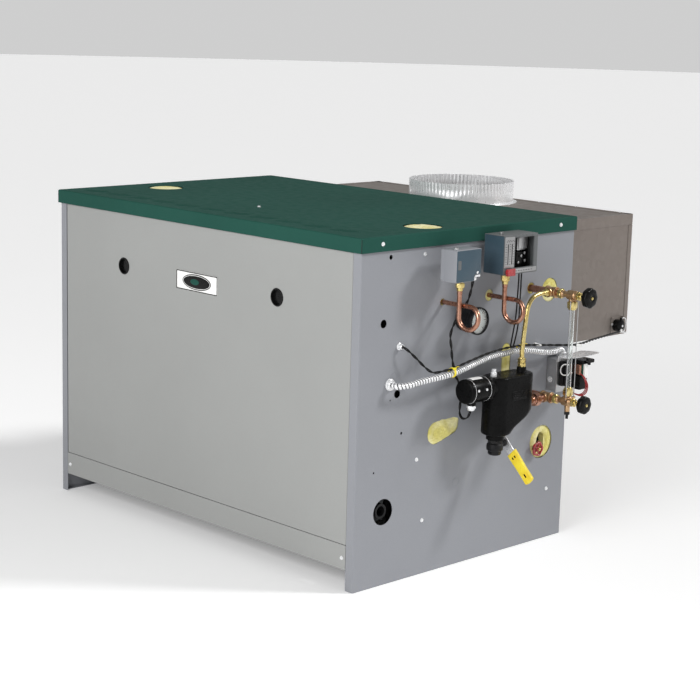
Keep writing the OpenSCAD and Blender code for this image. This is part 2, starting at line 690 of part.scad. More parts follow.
module gauge_glass() color([0.7, 0.9, 0.85, 0.3]) difference() {
    along_z(cock_low_z + 21, cock_top_z - 21, [glass_x, glass_y], glass_r);
    along_z(cock_low_z + 20, cock_top_z - 20, [glass_x, glass_y], glass_r - 1.6);
}

module guard_rods() color("silver")
    for (s = [-1, 1]) along_z(cock_low_z + 14.2, cock_top_z - 14.2, [glass_x + 8, glass_y + s * 18.2], 2);

// Pipe from the boiler, with the tee that feeds the gauge glass and the cut-off.
module tee(z) {
    along_x(stub_x, tee_x - 20, [glass_y, z], 11);
    along_x(tee_x - 20, tee_x + 20, [glass_y, z], 16);
    along_x(tee_x + 20, tee_x + 26.9, [glass_y, z], 11);
    along_y(glass_y - 22, glass_y, [tee_x, z], 13);
}

module hookup_fittings() color("peru") {
    tee(cock_top_z);
    tee(cock_low_z);
    along_y(glass_y - 32, glass_y - 22, [tee_x, cock_top_z], 10, 6);
    along_y(174, glass_y - 22, [tee_x, cock_low_z], 11);
    along_y(bowl_y[1] + bowl_r + 0.6, 180, [tee_x, cock_low_z], 16, 6);
    along_y(198, 220, [tee_x, cock_low_z], 20, 8);
    along_z(bowl_z1 + 14.2, bowl_z1 + 26, [tee_x, equal_y], 11, 6);
    along_z(bowl_z1 + 26, bowl_z1 + 38, [tee_x, equal_y], 9, 6);
}

module equalizing_tube() color("darkkhaki")
    sweep(smooth([[tee_x, glass_y - 32.2, cock_top_z], [tee_x, 215, cock_top_z - 1], [tee_x, 190, 785],
        [tee_x, 170, 758], [tee_x, 158, 720], [tee_x, 147, 680], [tee_x, equal_y, 640],
        [tee_x, equal_y, bowl_z1 + 38.2]], 5), 5);

// ---------- low-water cut-off ----------

module bowl_mass(r, grow) hull() {
    along_z(400 - grow, bowl_z1 + grow, [tee_x, bowl_y[0]], r + 1, 32);
    along_z(462 - grow, bowl_z1 + grow, [tee_x, bowl_y[1]], r, 32);
}

module cutoff_bowl() color([0.1, 0.1, 0.1]) difference() {
    union() {
        bowl_mass(bowl_r, 0);
        along_z(384, 404, [tee_x, bowl_y[0]], 27);
        along_z(560, bowl_z1 + 14, [tee_x, equal_y], 17);
        along_y(-26, 0, [tee_x, switch_z], 30);
        along_y(-26, -16, [tee_x, switch_z], switch_r);
        along_y(150, bowl_y[1] + bowl_r + 0.4, [tee_x, cock_low_z], 19);
    }
    bowl_mass(bowl_r - 7, -7);
    along_z(383, 420, [tee_x, bowl_y[0]], 14);
    along_z(540, 590, [tee_x, equal_y], 6);
    along_y(-27, 20, [tee_x, switch_z], 16);
    along_y(140, 170, [tee_x, cock_low_z], 8);
}

module cutoff_switch_housing() color([0.08, 0.08, 0.08]) difference() {
    union() {
        along_y(-109, -26.2, [tee_x, switch_z], switch_r);
        along_z(485, 512, [tee_x, -76], 12);
    }
    along_y(-106, -26, [tee_x, switch_z], switch_r - 2.5);
    along_z(484, 512, [tee_x, -76], 7);
}

module cutoff_float() color("silver") {
    along_x(tee_x - 12, tee_x + 12, [float_pivot_y, switch_z], 4);
    along_y(-9, 14, [tee_x, switch_z], 9);
    along_y(12, 62, [tee_x, switch_z], 3);
    translate([tee_x, 66, switch_z - 30]) rotate([-90, 0, 0]) {
        cylinder(r = 22, h = 42);
        sphere(22);
        translate([0, 0, 42]) sphere(22);
    }
    along_z(switch_z - 12, switch_z + 3, [tee_x, 60], 3);
}

module blowdown_valve() color("dimgray") difference() {
    union() {
        along_z(372, 383.8, [tee_x, bowl_y[0]], 21, 6);
        along_z(350, 376, [tee_x, bowl_y[0]], 24);
        along_z(338, 352, [tee_x, bowl_y[0]], 19, 6);
        along_y(bowl_y[0], stem_y[0] + 12, [tee_x, stem_z], 10);
        along_y(stem_y[0], stem_y[0] + 14, [tee_x, stem_z], 12, 6);
    }
    along_z(337, 384, [tee_x, bowl_y[0]], 13);
    along_y(stem_y[0] + 2, stem_y[0] + 15, [tee_x, stem_z], 4.05);
}

// Lever turned about its stem to the angle it rests at.
module at_stem() translate([tee_x, 0, stem_z]) rotate([0, lever_tilt, 0]) children();

module blowdown_lever() color("silver") at_stem() {
    along_y(stem_y[0] + 4, stem_y[1], [0, 0], 4);
    translate([0, 79, 0]) rotate([-90, 0, 0]) linear_extrude(3) round_rect([-18, -13], [52, 13], 5);
    along_y(82, 89, [0, 0], 8, 6);
}

module lever_sleeve() color("gold") at_stem() difference() {
    translate([0, 76, 0]) rotate([-90, 0, 0]) linear_extrude(9) round_rect([30, -15], [lever_l, 15], 7);
    translate([0, 78.8, 0]) rotate([-90, 0, 0]) linear_extrude(3.4) round_rect([20, -13.2], [52.2, 13.2], 5);
}

// ---------- drain ----------

module drain_valve() color("goldenrod") difference() {
    union() {
        along_z(drain_yz[1], section_z0 + 22, [drain_x, drain_yz[0]], 9.5);
        along_x(drain_x, 664, drain_yz, 9.5);
        along_x(660, 688, drain_yz, 13);
        along_x(688, 696, drain_yz, 8, 6);
        along_z(drain_yz[1] - 26, drain_yz[1], [676, drain_yz[0]], 8);
    }
    along_z(drain_yz[1] - 27, drain_yz[1] - 4, [676, drain_yz[0]], 5);
    along_x(682, 697, drain_yz, 3.05);
}

module drain_wheel() color("firebrick") {
    along_x(683, 710, drain_yz, 3);
    difference() {
        along_x(702, 712, drain_yz, 24);
        for (k = [0:4]) translate([0, drain_yz[0], drain_yz[1]]) rotate([72 * k, 0, 0])
            along_x(700, 714, [0, 13.5], 6);
        for (k = [0:4]) translate([0, drain_yz[0], drain_yz[1]]) rotate([72 * k + 36, 0, 0])
            along_x(700, 714, [0, 27], 5.5);
    }
    along_x(710, 716, drain_yz, 5, 6);
}

// ---------- wiring ----------

module conduit() color("silver") sweep(smooth(conduit_pts, 3), 10.7, 12);

module control_leads() color([0.1, 0.1, 0.1]) {
    for (p = [lead_limit, lead_press_a, lead_press_b, lead_along, lead_panel, lead_switch])
        sweep(smooth(p, 2), 1.7, 8);
    color("firebrick") for (k = [0:2]) sweep([for (p = smooth(red_leads, 2)) p + [3.9 * k, 0, -1.5 * k]], 1.6, 8);
}

module panel_connectors() color("silver") {
    along_x(panel_x + 0.1, 699.9, [-329, 580], 13, 6);
    along_x(panel_x + 0.1, 695, [-329, 580], 16);
    along_x(panel_x + 0.1, 705.8, [-295, 684], 9);
    along_z(box_z[1] + 0.1, box_z[1] + 12.8, [711, 400], 13, 6);
    along_z(864, limit_box[0].z + 17.9, [778, -97], 8);
}

module junction_box() color("lightgray") difference() {
    block([panel_x + 0.2, box_y[0], box_z[0]], [731, box_y[1], box_z[1]]);
    block([panel_x + 1.7, box_y[0] + 1.5, box_z[0] + 1.5], [729.5, box_y[1] - 1.5, box_z[1] - 1.5]);
    along_z(box_z[1] - 5, box_z[1] + 1, [711, 400], 8);
}

module relay_and_transformer() {
    color("dimgray") block([731.2, 362, 505], [745, 448, 566]);
    color("black") block([745, 368, 512], [776, 442, 558]);
    color("peru") block([776.2, 374, 514], [800, 420, 554]);
    color("white") block([800.2, 382, 508], [812, 410, 562]);
    color("silver") {
        difference() {
            translate([731.2, box_y[0] + 2, 580]) rotate([0, -12, 0]) cube([122, 98, 1.4]);
            block([720, box_y[0], 560], [731.1, box_y[1], 600]);
        }
        block([731.2, box_y[0] + 2, 566.2], [733, box_y[1] - 2, 582]);
    }
}

module spill_switch() color([0.12, 0.12, 0.12]) {
    block([hood_x + 0.1, 806, 578], [hood_x + 3, 858, 632]);
    block([hood_x + 3, 812, 584], [hood_x + 24, 850, 626]);
    along_x(hood_x + 24, hood_x + 30, [831, 605], 12);
    along_z(626, 632, [606, 828], 4);
}

base_frame();
side_panel_left();
side_panel_right();
rear_panel();
jacket_lid();
front_door();
badge_plate();
kick_panel();
sheet_screws();
top_insulation();
side_insulation();
section_left();
section_right();
sections_mid();
push_nipples();
tie_rods();
flue_collector();
draft_hood();
flue_collar();
base_liner();
burner_tubes();
gas_manifold();
gas_orifices();
gas_valve();
gas_valve_knob();
pilot_assembly();
gas_supply_pipe();
limit_control_case();
limit_control_screw();
pressure_control_case();
pressure_control_switch();
pressure_control_screw();
reset_button();
siphons();
siphon_fittings();
gauge_case();
gauge_dial();
gauge_pointer();
gauge_lens();
gauge_cocks();
cock_wheel_top();
cock_wheel_low();
gauge_glass();
guard_rods();
hookup_fittings();
equalizing_tube();
cutoff_bowl();
cutoff_switch_housing();
cutoff_float();
blowdown_valve();
blowdown_lever();
lever_sleeve();
drain_valve();
drain_wheel();
conduit();
control_leads();
panel_connectors();
junction_box();
relay_and_transformer();
spill_switch();
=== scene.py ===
import json
import math

import bmesh
import bpy
import numpy as np
from mathutils import Matrix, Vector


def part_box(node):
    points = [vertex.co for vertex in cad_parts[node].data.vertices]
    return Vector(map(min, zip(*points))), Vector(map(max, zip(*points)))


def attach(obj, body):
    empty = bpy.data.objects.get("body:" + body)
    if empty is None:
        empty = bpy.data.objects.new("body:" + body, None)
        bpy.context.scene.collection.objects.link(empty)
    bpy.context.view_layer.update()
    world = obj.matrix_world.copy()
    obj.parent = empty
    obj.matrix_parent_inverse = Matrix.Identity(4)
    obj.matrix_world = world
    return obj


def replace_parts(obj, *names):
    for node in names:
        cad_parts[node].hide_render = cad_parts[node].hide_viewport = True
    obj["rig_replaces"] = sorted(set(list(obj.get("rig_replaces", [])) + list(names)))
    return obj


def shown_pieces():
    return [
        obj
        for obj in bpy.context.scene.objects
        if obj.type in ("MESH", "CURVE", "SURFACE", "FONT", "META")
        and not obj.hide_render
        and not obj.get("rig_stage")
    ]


bl_info = {
    "name": "Cast-Iron Boiler Finish",
    "version": (1, 0, 0),
    "blender": (4, 5, 0),
    "location": "3D View > Sidebar > Boiler",
    "description": "Finishes a packed gas-fired boiler: sheet metal, wool, castings, pipework and wiring",
    "category": "Object",
}

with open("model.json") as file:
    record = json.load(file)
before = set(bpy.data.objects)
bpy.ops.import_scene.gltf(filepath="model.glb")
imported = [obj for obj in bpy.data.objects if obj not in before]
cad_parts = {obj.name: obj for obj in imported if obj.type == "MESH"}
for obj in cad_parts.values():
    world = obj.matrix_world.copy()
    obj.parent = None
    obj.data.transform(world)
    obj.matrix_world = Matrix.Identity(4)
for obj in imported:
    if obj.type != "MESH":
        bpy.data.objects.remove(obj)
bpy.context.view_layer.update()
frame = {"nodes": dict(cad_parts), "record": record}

MM = 0.001                  # shapes are worked out in millimetres and stored in metres
TURN = 2 * math.pi
BODY = "boiler"             # the body that carries everything that stays put


def corners(node):
    """Lowest and highest corner of a CAD node, in millimetres."""
    lo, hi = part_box(node)
    return np.array(lo) / MM, np.array(hi) / MM


def middle(node):
    """Middle of a CAD node's box, in millimetres."""
    lo, hi = corners(node)
    return (lo + hi) / 2


PANEL_X = corners("side_panel_right")[1][0]
FRONT_Y = corners("side_panel_right")[0][1]
LID_LO, LID_HI = corners("jacket_lid")
TEE_X = middle("cutoff_switch_housing")[0]
SWITCH_Z = 543.0
GLASS = np.array([850.0, 262.0])        # gauge glass, across and front to back
COCK_Z = (795.0, 478.0)                 # upper and lower gauge cock
EQUAL_Y = 138.0
BOWL_Y = (34.0, 126.0)
STEM_Z = 367.0
DRAIN = np.array([310.0, 297.0])
GAUGE = middle("gauge_case")[1:]
RISERS = ((-565.0, -123.0), (603.0, -123.0))        # holes for the steam risers in the lid
RISER_R = 57.0
SIDE_HOLE, SIDE_HOLE_R = np.array([342.0, 312.0]), 52.5
FINGER_HOLES = ((-356.0, 791.0), (356.0, 791.0))
SIDE_SHEET_X = 664.5                    # inside face of the side blankets
TIE_Y = (-150.0, 183.0)                 # where the leads are tied to the conduit
KNOCKOUTS = ((-313, 600, 13.0), (-329, 580, 22.0), (-40, 250, 14.0))


# ---------- shapes worked out as arrays ----------

ACROSS = {"x": (0, 1, 2), "y": (1, 0, 2), "z": (2, 0, 1)}


def place(axis, along, u, v):
    """Points from a distance along an axis and the two coordinates across it."""
    points = np.empty(np.broadcast(along, u, v).shape + (3,))
    a, b, c = ACROSS[axis]
    points[..., a], points[..., b], points[..., c] = along, u, v
    return points


def fillet(points, r, closed=False, steps=4):
    """Rounds a polyline's corners: each becomes a parabola from r before it to r after it, or to
    just under half of a shorter side."""
    p = np.asarray(points, float)
    if closed:
        before, corner, after = np.roll(p, 1, 0), p, np.roll(p, -1, 0)
    else:
        before, corner, after = p[:-2], p[1:-1], p[2:]
    back, ahead = before - corner, after - corner
    back_l = np.linalg.norm(back, axis=1, keepdims=True) + 1e-9
    ahead_l = np.linalg.norm(ahead, axis=1, keepdims=True) + 1e-9
    a = corner + back / back_l * np.minimum(r, 0.45 * back_l)
    b = corner + ahead / ahead_l * np.minimum(r, 0.45 * ahead_l)
    t = np.linspace(0, 1, steps)[:, None, None]
    arcs = ((1 - t) ** 2 * a + 2 * t * (1 - t) * corner + t ** 2 * b).transpose(1, 0,
                                                                                2).reshape(-1, p.shape[1])
    return arcs if closed else np.vstack([p[:1], arcs, p[-1:]])


def turned(axis, centre, profile, sides=48, soften=0.6, lobes=0, depth=0.0):
    """Surface of revolution: the profile's (distance, radius) pairs, corners rounded, carried round an
    axis through centre. Lobes scallop it: the radius is less by depth times half of one less the
    cosine of lobes times the angle."""
    s, r = fillet(profile, soften).T
    a = np.linspace(0, TURN, sides, endpoint=False)
    scallop = 1 - depth * (0.5 - 0.5 * np.cos(lobes * a))
    radius = r[:, None] * scallop
    return place(axis, s[:, None] + 0 * a, centre[0] + radius * np.cos(a), centre[1] + radius * np.sin(a))


def solid(axis, centre, profile, sides=48, soften=0.6, core=0.1, **scallop):
    """Turned part whose profile is closed at both ends down to a thin core."""
    closed = [(profile[0][0], core), *profile, (profile[-1][0], core)]
    return turned(axis, centre, closed, sides, soften, **scallop)


def nut(axis, centre, a, b, flat, count=6, turn=0.0):
    """Chamfered nut: its radius is the flat's distance over the cosine of the angle from the middle of
    the nearest flat, held back to a circle at both ends."""
    t = np.linspace(0, TURN, 16 * count, endpoint=False)
    step = TURN / count
    full = flat / np.cos((t + step / 2) % step - step / 2)
    c = 0.14 * flat
    stations = [(a, 0.93), (a + 0.3 * c, 1.0), (a + c, 1.2), (b - c, 1.2), (b - 0.3 * c, 1.0), (b, 0.93)]
    s = np.array([q[0] for q in stations])[:, None]
    r = np.stack([np.minimum(full, flat * q[1]) for q in stations])
    return place(axis, s + 0 * t, centre[0] + r * np.cos(t + turn), centre[1] + r * np.sin(t + turn))


def ring(axis, centre, profile, sides=64):
    """Hollow turned part: a closed profile of (distance, radius) pairs carried round an axis."""
    s, r = np.asarray(profile, float).T
    a = np.linspace(0, TURN, sides, endpoint=False)
    return place(axis, s[:, None] + 0 * a, centre[0] + r[:, None] * np.cos(a),
                 centre[1] + r[:, None] * np.sin(a))


def rectangle(lo, hi, r):
    """Outline of a rectangle with rounded corners."""
    return fillet([lo, (hi[0], lo[1]), hi, (lo[0], hi[1])], r, closed=True, steps=5)


def inset(outline, d):
    """Outline moved inwards by d along the mean of the normals of the two sides that meet there."""
    side = np.roll(outline, -1, 0) - outline
    normal = np.stack([-side[:, 1], side[:, 0]], 1)
    normal /= np.linalg.norm(normal, axis=1, keepdims=True) + 1e-9
    mean = normal + np.roll(normal, 1, 0)
    mean /= np.linalg.norm(mean, axis=1, keepdims=True) + 1e-9
    area = np.sum(outline[:, 0] * np.roll(outline[:, 1], -1) - outline[:, 1] * np.roll(outline[:, 0], -1))
    return outline + mean * d * np.sign(area)


def prism(axis, outline, a, b, edge=0.8):
    """Outline carried along an axis from a to b, with its end edges rounded by pulling the outline in
    as the cosine while it goes out as the sine of a quarter turn."""
    q = np.linspace(0, math.pi / 2, 4)
    pulls = np.concatenate([edge * (1 - np.sin(q)), edge * (1 - np.cos(q))])
    stations = np.concatenate([a + edge * (1 - np.cos(q)), b - edge * (1 - np.sin(q))])
    rings = np.stack([inset(outline, d) for d in pulls])
    return place(axis, stations[:, None] + 0 * rings[..., 0], rings[..., 0], rings[..., 1])


def brick(lo, hi, r=1.5, edge=0.8):
    """Rectangular solid with rounded corners and edges."""
    return prism("z", rectangle(lo[:2], hi[:2], r), lo[2], hi[2], edge)


def smooth_route(points, steps):
    """Catmull-Rom curve through the points, with that many steps to each stretch."""
    p = np.asarray(points, float)
    q = np.vstack([p[:1], p, p[-1:]])
    u = np.linspace(0, 1, steps, endpoint=False)[None, :, None]
    a, b, c, d = (q[i:len(q) - 3 + i, None] for i in range(4))
    curve = 0.5 * (2 * b + (c - a) * u + (2 * a - 5 * b + 4 * c - d) * u ** 2
                   + (3 * b - a - 3 * c + d) * u ** 3)
    return np.vstack([curve.reshape(-1, 3), p[-1:]])


def even(path, step):
    """The same path with points a step apart, by its running length."""
    run = np.concatenate([[0], np.cumsum(np.linalg.norm(np.diff(path, axis=0), axis=1))])
    where = np.linspace(0, run[-1], max(2, int(run[-1] / step)))
    return np.stack([np.interp(where, run, path[:, k]) for k in range(3)], 1)


def across_path(path):
    """Two unit vectors across the path at each point, carried along it without twist."""
    heading = np.gradient(path, axis=0)
    heading /= np.linalg.norm(heading, axis=1, keepdims=True)
    side = np.cross(heading[0], [0, 0, 1.0] if abs(heading[0][2]) < 0.9 else [1.0, 0, 0])
    sides = []
    for h in heading:
        side = side - h * (side @ h)
        side = side / np.linalg.norm(side)
        sides.append(side)
    sides = np.array(sides)
    return sides, np.cross(heading, sides)


def tube(path, radius, sides=16, wave=None, flat=1.0):
    """Round tube: a circle carried along the path. The radius may be a number for each point, wave a
    function of the point's number and the angle that is added to it, and flat squeezes it one way."""
    u, v = across_path(path)
    a = np.linspace(0, TURN, sides, endpoint=False)
    r = np.broadcast_to(np.reshape(radius, (-1, 1)), (len(path), sides)).copy()
    if wave is not None:
        r += wave(np.arange(len(path))[:, None], a[None, :])
    return (path[:, None] + (r * np.cos(a))[..., None] * u[:, None]
            + (flat * r * np.sin(a))[..., None] * v[:, None])


def fuzz(points, size, seed):
    """Lumpy height from -1 to 1 at each point: the mean of a dozen sine waves of about the given size
    whose directions and phases come from a seeded draw."""
    rng = np.random.default_rng(seed)
    waves = rng.normal(size=(12, 3)) * TURN / size
    phases = rng.uniform(0, TURN, 12)
    return np.sin(points @ waves.T + phases).mean(-1) * 2


class Shell:
    """Closed surfaces gathered into one mesh."""

    def __init__(self, *grids):
        self.points, self.faces, self.total = [], [], 0
        for grid in grids:
            self.add(grid)

    def add(self, grid, loop=False):
        """Adds a grid of points: four-sided faces closed around its second direction, and either
        closed around the first one too or shut with a flat cap at each end."""
        n, m = grid.shape[:2]
        number = self.total + np.arange(n * m).reshape(n, m)
        ahead = np.roll(number, -1, 0) if loop else number[1:]
        here = number if loop else number[:-1]
        quads = np.stack([here, np.roll(here, -1, 1), np.roll(ahead, -1, 1), ahead], -1).reshape(-1, 4)
        self.faces += quads.tolist()
        if not loop:
            self.faces += [number[0][::-1].tolist(), number[-1].tolist()]
        self.points.append(grid.reshape(-1, 3))
        self.total += n * m
        return self


def make(name, shell, finish, body=BODY, stands_for=(), sharp=38):
    """Turns a shell into a piece with a finish that rides on a body and stands for CAD nodes."""
    mesh = bpy.data.meshes.new(name)
    mesh.from_pydata((np.vstack(shell.points) * MM).tolist(), [], shell.faces)
    work = bmesh.new()
    work.from_mesh(mesh)
    bmesh.ops.recalc_face_normals(work, faces=work.faces)
    work.to_mesh(mesh)
    work.free()
    mesh.polygons.foreach_set("use_smooth", np.ones(len(mesh.polygons), bool))
    mesh.set_sharp_from_angle(angle=math.radians(sharp))
    mesh.materials.append(material(finish))
    piece = bpy.data.objects.new(name, mesh)
    bpy.context.scene.collection.objects.link(piece)
    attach(piece, body)
    if stands_for:
        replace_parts(piece, *stands_for)
    return piece


# ---------- finishes ----------

class Recipe:
    """Node tree of one finish: a shader whose colour, roughness and relief come from noise."""

    def __init__(self, name, metallic=0.0, roughness=0.5, **sockets):
        self.material = bpy.data.materials.new(name)
        self.material.use_nodes = True
        self.tree = self.material.node_tree
        self.tree.nodes.clear()
        self.shader = self.add("BsdfPrincipled")
        self.link(self.shader.outputs[0], self.add("OutputMaterial").inputs[0])
        self.shader.inputs["Metallic"].default_value = metallic
        self.shader.inputs["Roughness"].default_value = roughness
        for socket, value in sockets.items():
            self.shader.inputs[socket.replace("_", " ")].default_value = value
        self.place = self.add("TexCoord").outputs["Object"]
        self.relief = None

    def add(self, kind, **settings):
        """A node with its properties set."""
        node = self.tree.nodes.new("ShaderNode" + kind)
        for key, value in settings.items():
            setattr(node, key, value)
        return node

    def link(self, out, into):
        self.tree.links.new(out, into)

    def stretched(self, scale):
        """Object coordinates stretched by a scale along each axis."""
        mapping = self.add("Mapping")
        mapping.inputs["Scale"].default_value = scale
        self.link(self.place, mapping.inputs["Vector"])
        return mapping.outputs[0]

    def noise(self, scale, detail=4.0, stretch=(1, 1, 1), distortion=0.0):
        """Noise value with features of about one over scale of a metre."""
        node = self.add("TexNoise")
        node.inputs["Scale"].default_value = scale
        node.inputs["Detail"].default_value = detail
        node.inputs["Distortion"].default_value = distortion
        self.link(self.stretched(stretch), node.inputs["Vector"])
        return node.outputs["Fac"]

    def cells(self, scale):
        """Colour of cells of about one over scale of a metre."""
        node = self.add("TexVoronoi")
        node.inputs["Scale"].default_value = scale
        self.link(self.place, node.inputs["Vector"])
        return node.outputs["Color"]

    def span(self, value, low, high, start=0.3, end=0.7):
        """Maps a value between start and end to low and high."""
        node = self.add("MapRange")
        for socket, number in zip(("From Min", "From Max", "To Min", "To Max"), (start, end, low, high)):
            node.inputs[socket].default_value = number
        self.link(value, node.inputs["Value"])
        return node.outputs[0]

    def blend(self, share, first, second):
        """Colour between two, by a share from 0 to 1. Either may be a colour or a socket."""
        node = self.add("Mix", data_type="RGBA")
        self.link(share, node.inputs[0])
        for socket, colour in ((node.inputs[6], first), (node.inputs[7], second)):
            if isinstance(colour, tuple):
                socket.default_value = (*colour, 1.0)
            else:
                self.link(colour, socket)
        return node.outputs[2]

    def paint(self, colour):
        self.link(colour, self.shader.inputs["Base Color"])
        return self

    def gloss(self, value):
        self.link(value, self.shader.inputs["Roughness"])
        return self

    def emboss(self, height, strength, distance=0.0005):
        """Adds relief from a height, on top of any relief that is there."""
        bump = self.add("Bump")
        bump.inputs["Strength"].default_value = strength
        bump.inputs["Distance"].default_value = distance
        self.link(height, bump.inputs["Height"])
        if self.relief is not None:
            self.link(self.relief, bump.inputs["Normal"])
        self.relief = bump.outputs[0]
        self.link(self.relief, self.shader.inputs["Normal"])
        return self

    def eased(self, radius):
        """Rounds sharp edges in the light by a radius in metres."""
        bevel = self.add("Bevel", samples=4)
        bevel.inputs["Radius"].default_value = radius
        self.relief = bevel.outputs[0]
        self.link(self.relief, self.shader.inputs["Normal"])
        return self

    def layers(self, tones, stain=None, gloss=None, relief=(), edge=None):
        """Usual build-up: two tones mixed by noise, a stain over them, a gloss that wanders and relief.
        Each begins with the settings of its own noise."""
        if edge:
            self.eased(edge)
        noise, first, second = tones
        colour = self.blend(self.span(self.noise(*noise), 0.0, 1.0), first, second)
        if stain:
            noise, most, start, end, spot = stain
            colour = self.blend(self.span(self.noise(*noise), 0.0, most, start, end), colour, spot)
        self.paint(colour)
        if gloss:
            noise, low, high = gloss
            self.gloss(self.span(self.noise(*noise), low, high))
        for noise, strength, distance in relief:
            self.emboss(self.noise(*noise), strength, distance)
        return self


def shade(colour, factor):
    """A colour made lighter or darker."""
    return tuple(min(1.0, c * factor) for c in colour)


def enamel(name, colour, vary=0.06, rough=(0.34, 0.46), peel=0.05, edge=0.0012, sheen=0.3):
    """Baked enamel on sheet: faint clouds and finger marks, and an orange-peel skin."""
    r = Recipe(name, Specular_IOR_Level=sheen)
    r.eased(edge)
    clouds = r.span(r.noise(2.2, 3.0), 0.0, 1.0)
    marks = r.span(r.noise(38.0, 6.0, (1, 1, 0.5)), 0.0, 1.0, 0.42, 0.72)
    tone = r.blend(clouds, shade(colour, 1 - vary), shade(colour, 1 + vary))
    r.paint(r.blend(r.span(r.noise(300.0, 2.0), 0.0, 0.35), tone, shade(colour, 1 - 2 * vary)))
    r.gloss(r.span(marks, rough[0], rough[1], 0.0, 1.0))
    return r.emboss(r.noise(520.0, 2.0), peel, 0.0003)


def jacket_green():
    """Dark green wrinkle enamel of the lid."""
    return enamel("jacket_green", (0.020, 0.080, 0.062), 0.08, (0.64, 0.78), 0.02, sheen=0.05)


def door_grey():
    """Light warm grey enamel of the front door and kick panel."""
    return enamel("door_grey", (0.325, 0.33, 0.322), 0.03, (0.38, 0.48), 0.02, sheen=0.25)


def panel_grey():
    """Door grey made darker and bluer for the side panels, as painted shade of the faces turned away from
    the front light; a little scuffed.
    """
    # painted shade: the same paint as the door, darkened and tinted blue
    r = enamel("panel_grey", (0.268, 0.276, 0.298), 0.04, (0.34, 0.48), 0.05, sheen=0.25)
    return r.emboss(r.noise(9.0, 5.0, (1, 1, 0.4)), 0.04, 0.001)


def galvanised():
    """Hot-dipped sheet gone a little brown, with a faint spangle and long handling streaks."""
    r = Recipe("galvanised", metallic=0.35, roughness=0.45)
    r.eased(0.001)
    crystals = r.add("SeparateColor")
    r.link(r.cells(60.0), crystals.inputs[0])
    tone = r.blend(crystals.outputs[0], (0.210, 0.182, 0.162), (0.230, 0.202, 0.182))
    r.paint(r.blend(r.span(r.noise(3.0, 6.0, (1, 0.4, 2.5)), 0.0, 0.6), tone, (0.19, 0.155, 0.135)))
    r.gloss(r.span(crystals.outputs[1], 0.42, 0.52, 0.0, 1.0))
    return r.emboss(r.noise(14.0, 3.0, (1, 0.5, 2)), 0.05, 0.001)


def bright_zinc():
    """Bright zinc plate with faint rolling lines."""
    return Recipe("bright_zinc", metallic=0.5, roughness=0.25).layers(
        ((24, 5), (0.84, 0.85, 0.86), (0.92, 0.92, 0.93)), gloss=((90, 4), 0.24, 0.36),
        relief=[((240, 3, (1, 1, 0.2)), 0.05, 0.0003)], edge=0.0005)


def cast_iron():
    """Raw grey iron casting: grainy skin with a bloom of rust."""
    return Recipe("cast_iron", metallic=0.35, roughness=0.7).layers(
        ((12, 6), (0.060, 0.058, 0.058), (0.105, 0.10, 0.098)),
        ((4, 8), 0.7, 0.5, 0.75, (0.16, 0.072, 0.035)),
        ((60, 4), 0.6, 0.85), [((260, 5), 0.45, 0.0008)], edge=0.0025)


def black_iron():
    """Glossy black paint over a sand-cast skin."""
    return Recipe("black_iron", roughness=0.3, Specular_IOR_Level=0.07).layers(
        ((20, 5), (0.003, 0.003, 0.003), (0.006, 0.006, 0.006)), gloss=((80, 4), 0.22, 0.38),
        relief=[((45, 3), 0.18, 0.001), ((330, 4), 0.14, 0.0004)], edge=0.0015)


def dark_steel():
    """Black painted steel, worn thin in places."""
    r = Recipe("dark_steel", metallic=0.1, roughness=0.45, Specular_IOR_Level=0.25)
    r.eased(0.0012)
    r.paint(r.blend(r.span(r.noise(14.0, 7.0), 0.0, 1.0, 0.5, 0.75), (0.006, 0.006, 0.007),
                    (0.018, 0.017, 0.016)))
    r.gloss(r.span(r.noise(50.0, 5.0), 0.32, 0.6))
    return r.emboss(r.noise(200.0, 3.0), 0.10, 0.0004)


def steel():
    """Plain mill steel with fine drawing lines."""
    return Recipe("steel", metallic=0.9, roughness=0.38).layers(
        ((8, 6), (0.36, 0.36, 0.365), (0.56, 0.56, 0.565)), ((3, 4), 0.4, 0.55, 0.8, (0.30, 0.28, 0.26)),
        ((140, 4, (1, 0.1, 1)), 0.28, 0.5), [((300, 3, (1, 0.06, 1)), 0.08, 0.0003)], edge=0.0008)


def brass():
    """Machined yellow brass with light handling tarnish."""
    return Recipe("brass", metallic=1.0, roughness=0.25).layers(
        ((70, 6), (0.60, 0.46, 0.15), (0.74, 0.61, 0.27)), ((18, 5), 0.35, 0.5, 0.8, (0.36, 0.23, 0.08)),
        ((160, 4), 0.16, 0.36), [((600, 3), 0.08, 0.0002)], edge=0.0006)


def bronze():
    """Cast red bronze and old copper: brown in the hollows and bright where it is handled."""
    return Recipe("bronze", metallic=0.9, roughness=0.35).layers(
        ((45, 6), (0.36, 0.20, 0.10), (0.62, 0.42, 0.24)), ((30, 6), 0.8, 0.45, 0.75, (0.14, 0.06, 0.03)),
        ((120, 4), 0.24, 0.5), [((420, 5), 0.30, 0.0004)], edge=0.0008)


def copper():
    """Drawn copper tube with a pink bloom and flux stains."""
    return Recipe("copper", metallic=1.0, roughness=0.28).layers(
        ((60, 6), (0.36, 0.17, 0.11), (0.52, 0.29, 0.21)), ((22, 6), 0.4, 0.5, 0.8, (0.20, 0.075, 0.045)),
        ((100, 4), 0.18, 0.42), [((500, 3), 0.08, 0.0002)])


def insulation():
    """Yellow glass wool: matted strands, paler where it is pressed."""
    r = Recipe("insulation", roughness=0.95, Sheen_Weight=0.3, Sheen_Roughness=0.6)
    strands = r.noise(120.0, 8.0, (1, 0.35, 1), 2.0)
    tone = r.blend(r.span(r.noise(18.0, 3.0), 0.0, 1.0, 0.38, 0.62), (0.70, 0.63, 0.16), (0.84, 0.79, 0.42))
    r.paint(r.blend(r.span(strands, 0.0, 0.45, 0.45, 0.75), tone, (0.55, 0.43, 0.07)))
    r.emboss(r.noise(420.0, 6.0, (0.3, 1, 1), 1.5), 0.35, 0.0008)
    return r.emboss(strands, 0.35, 0.0012)


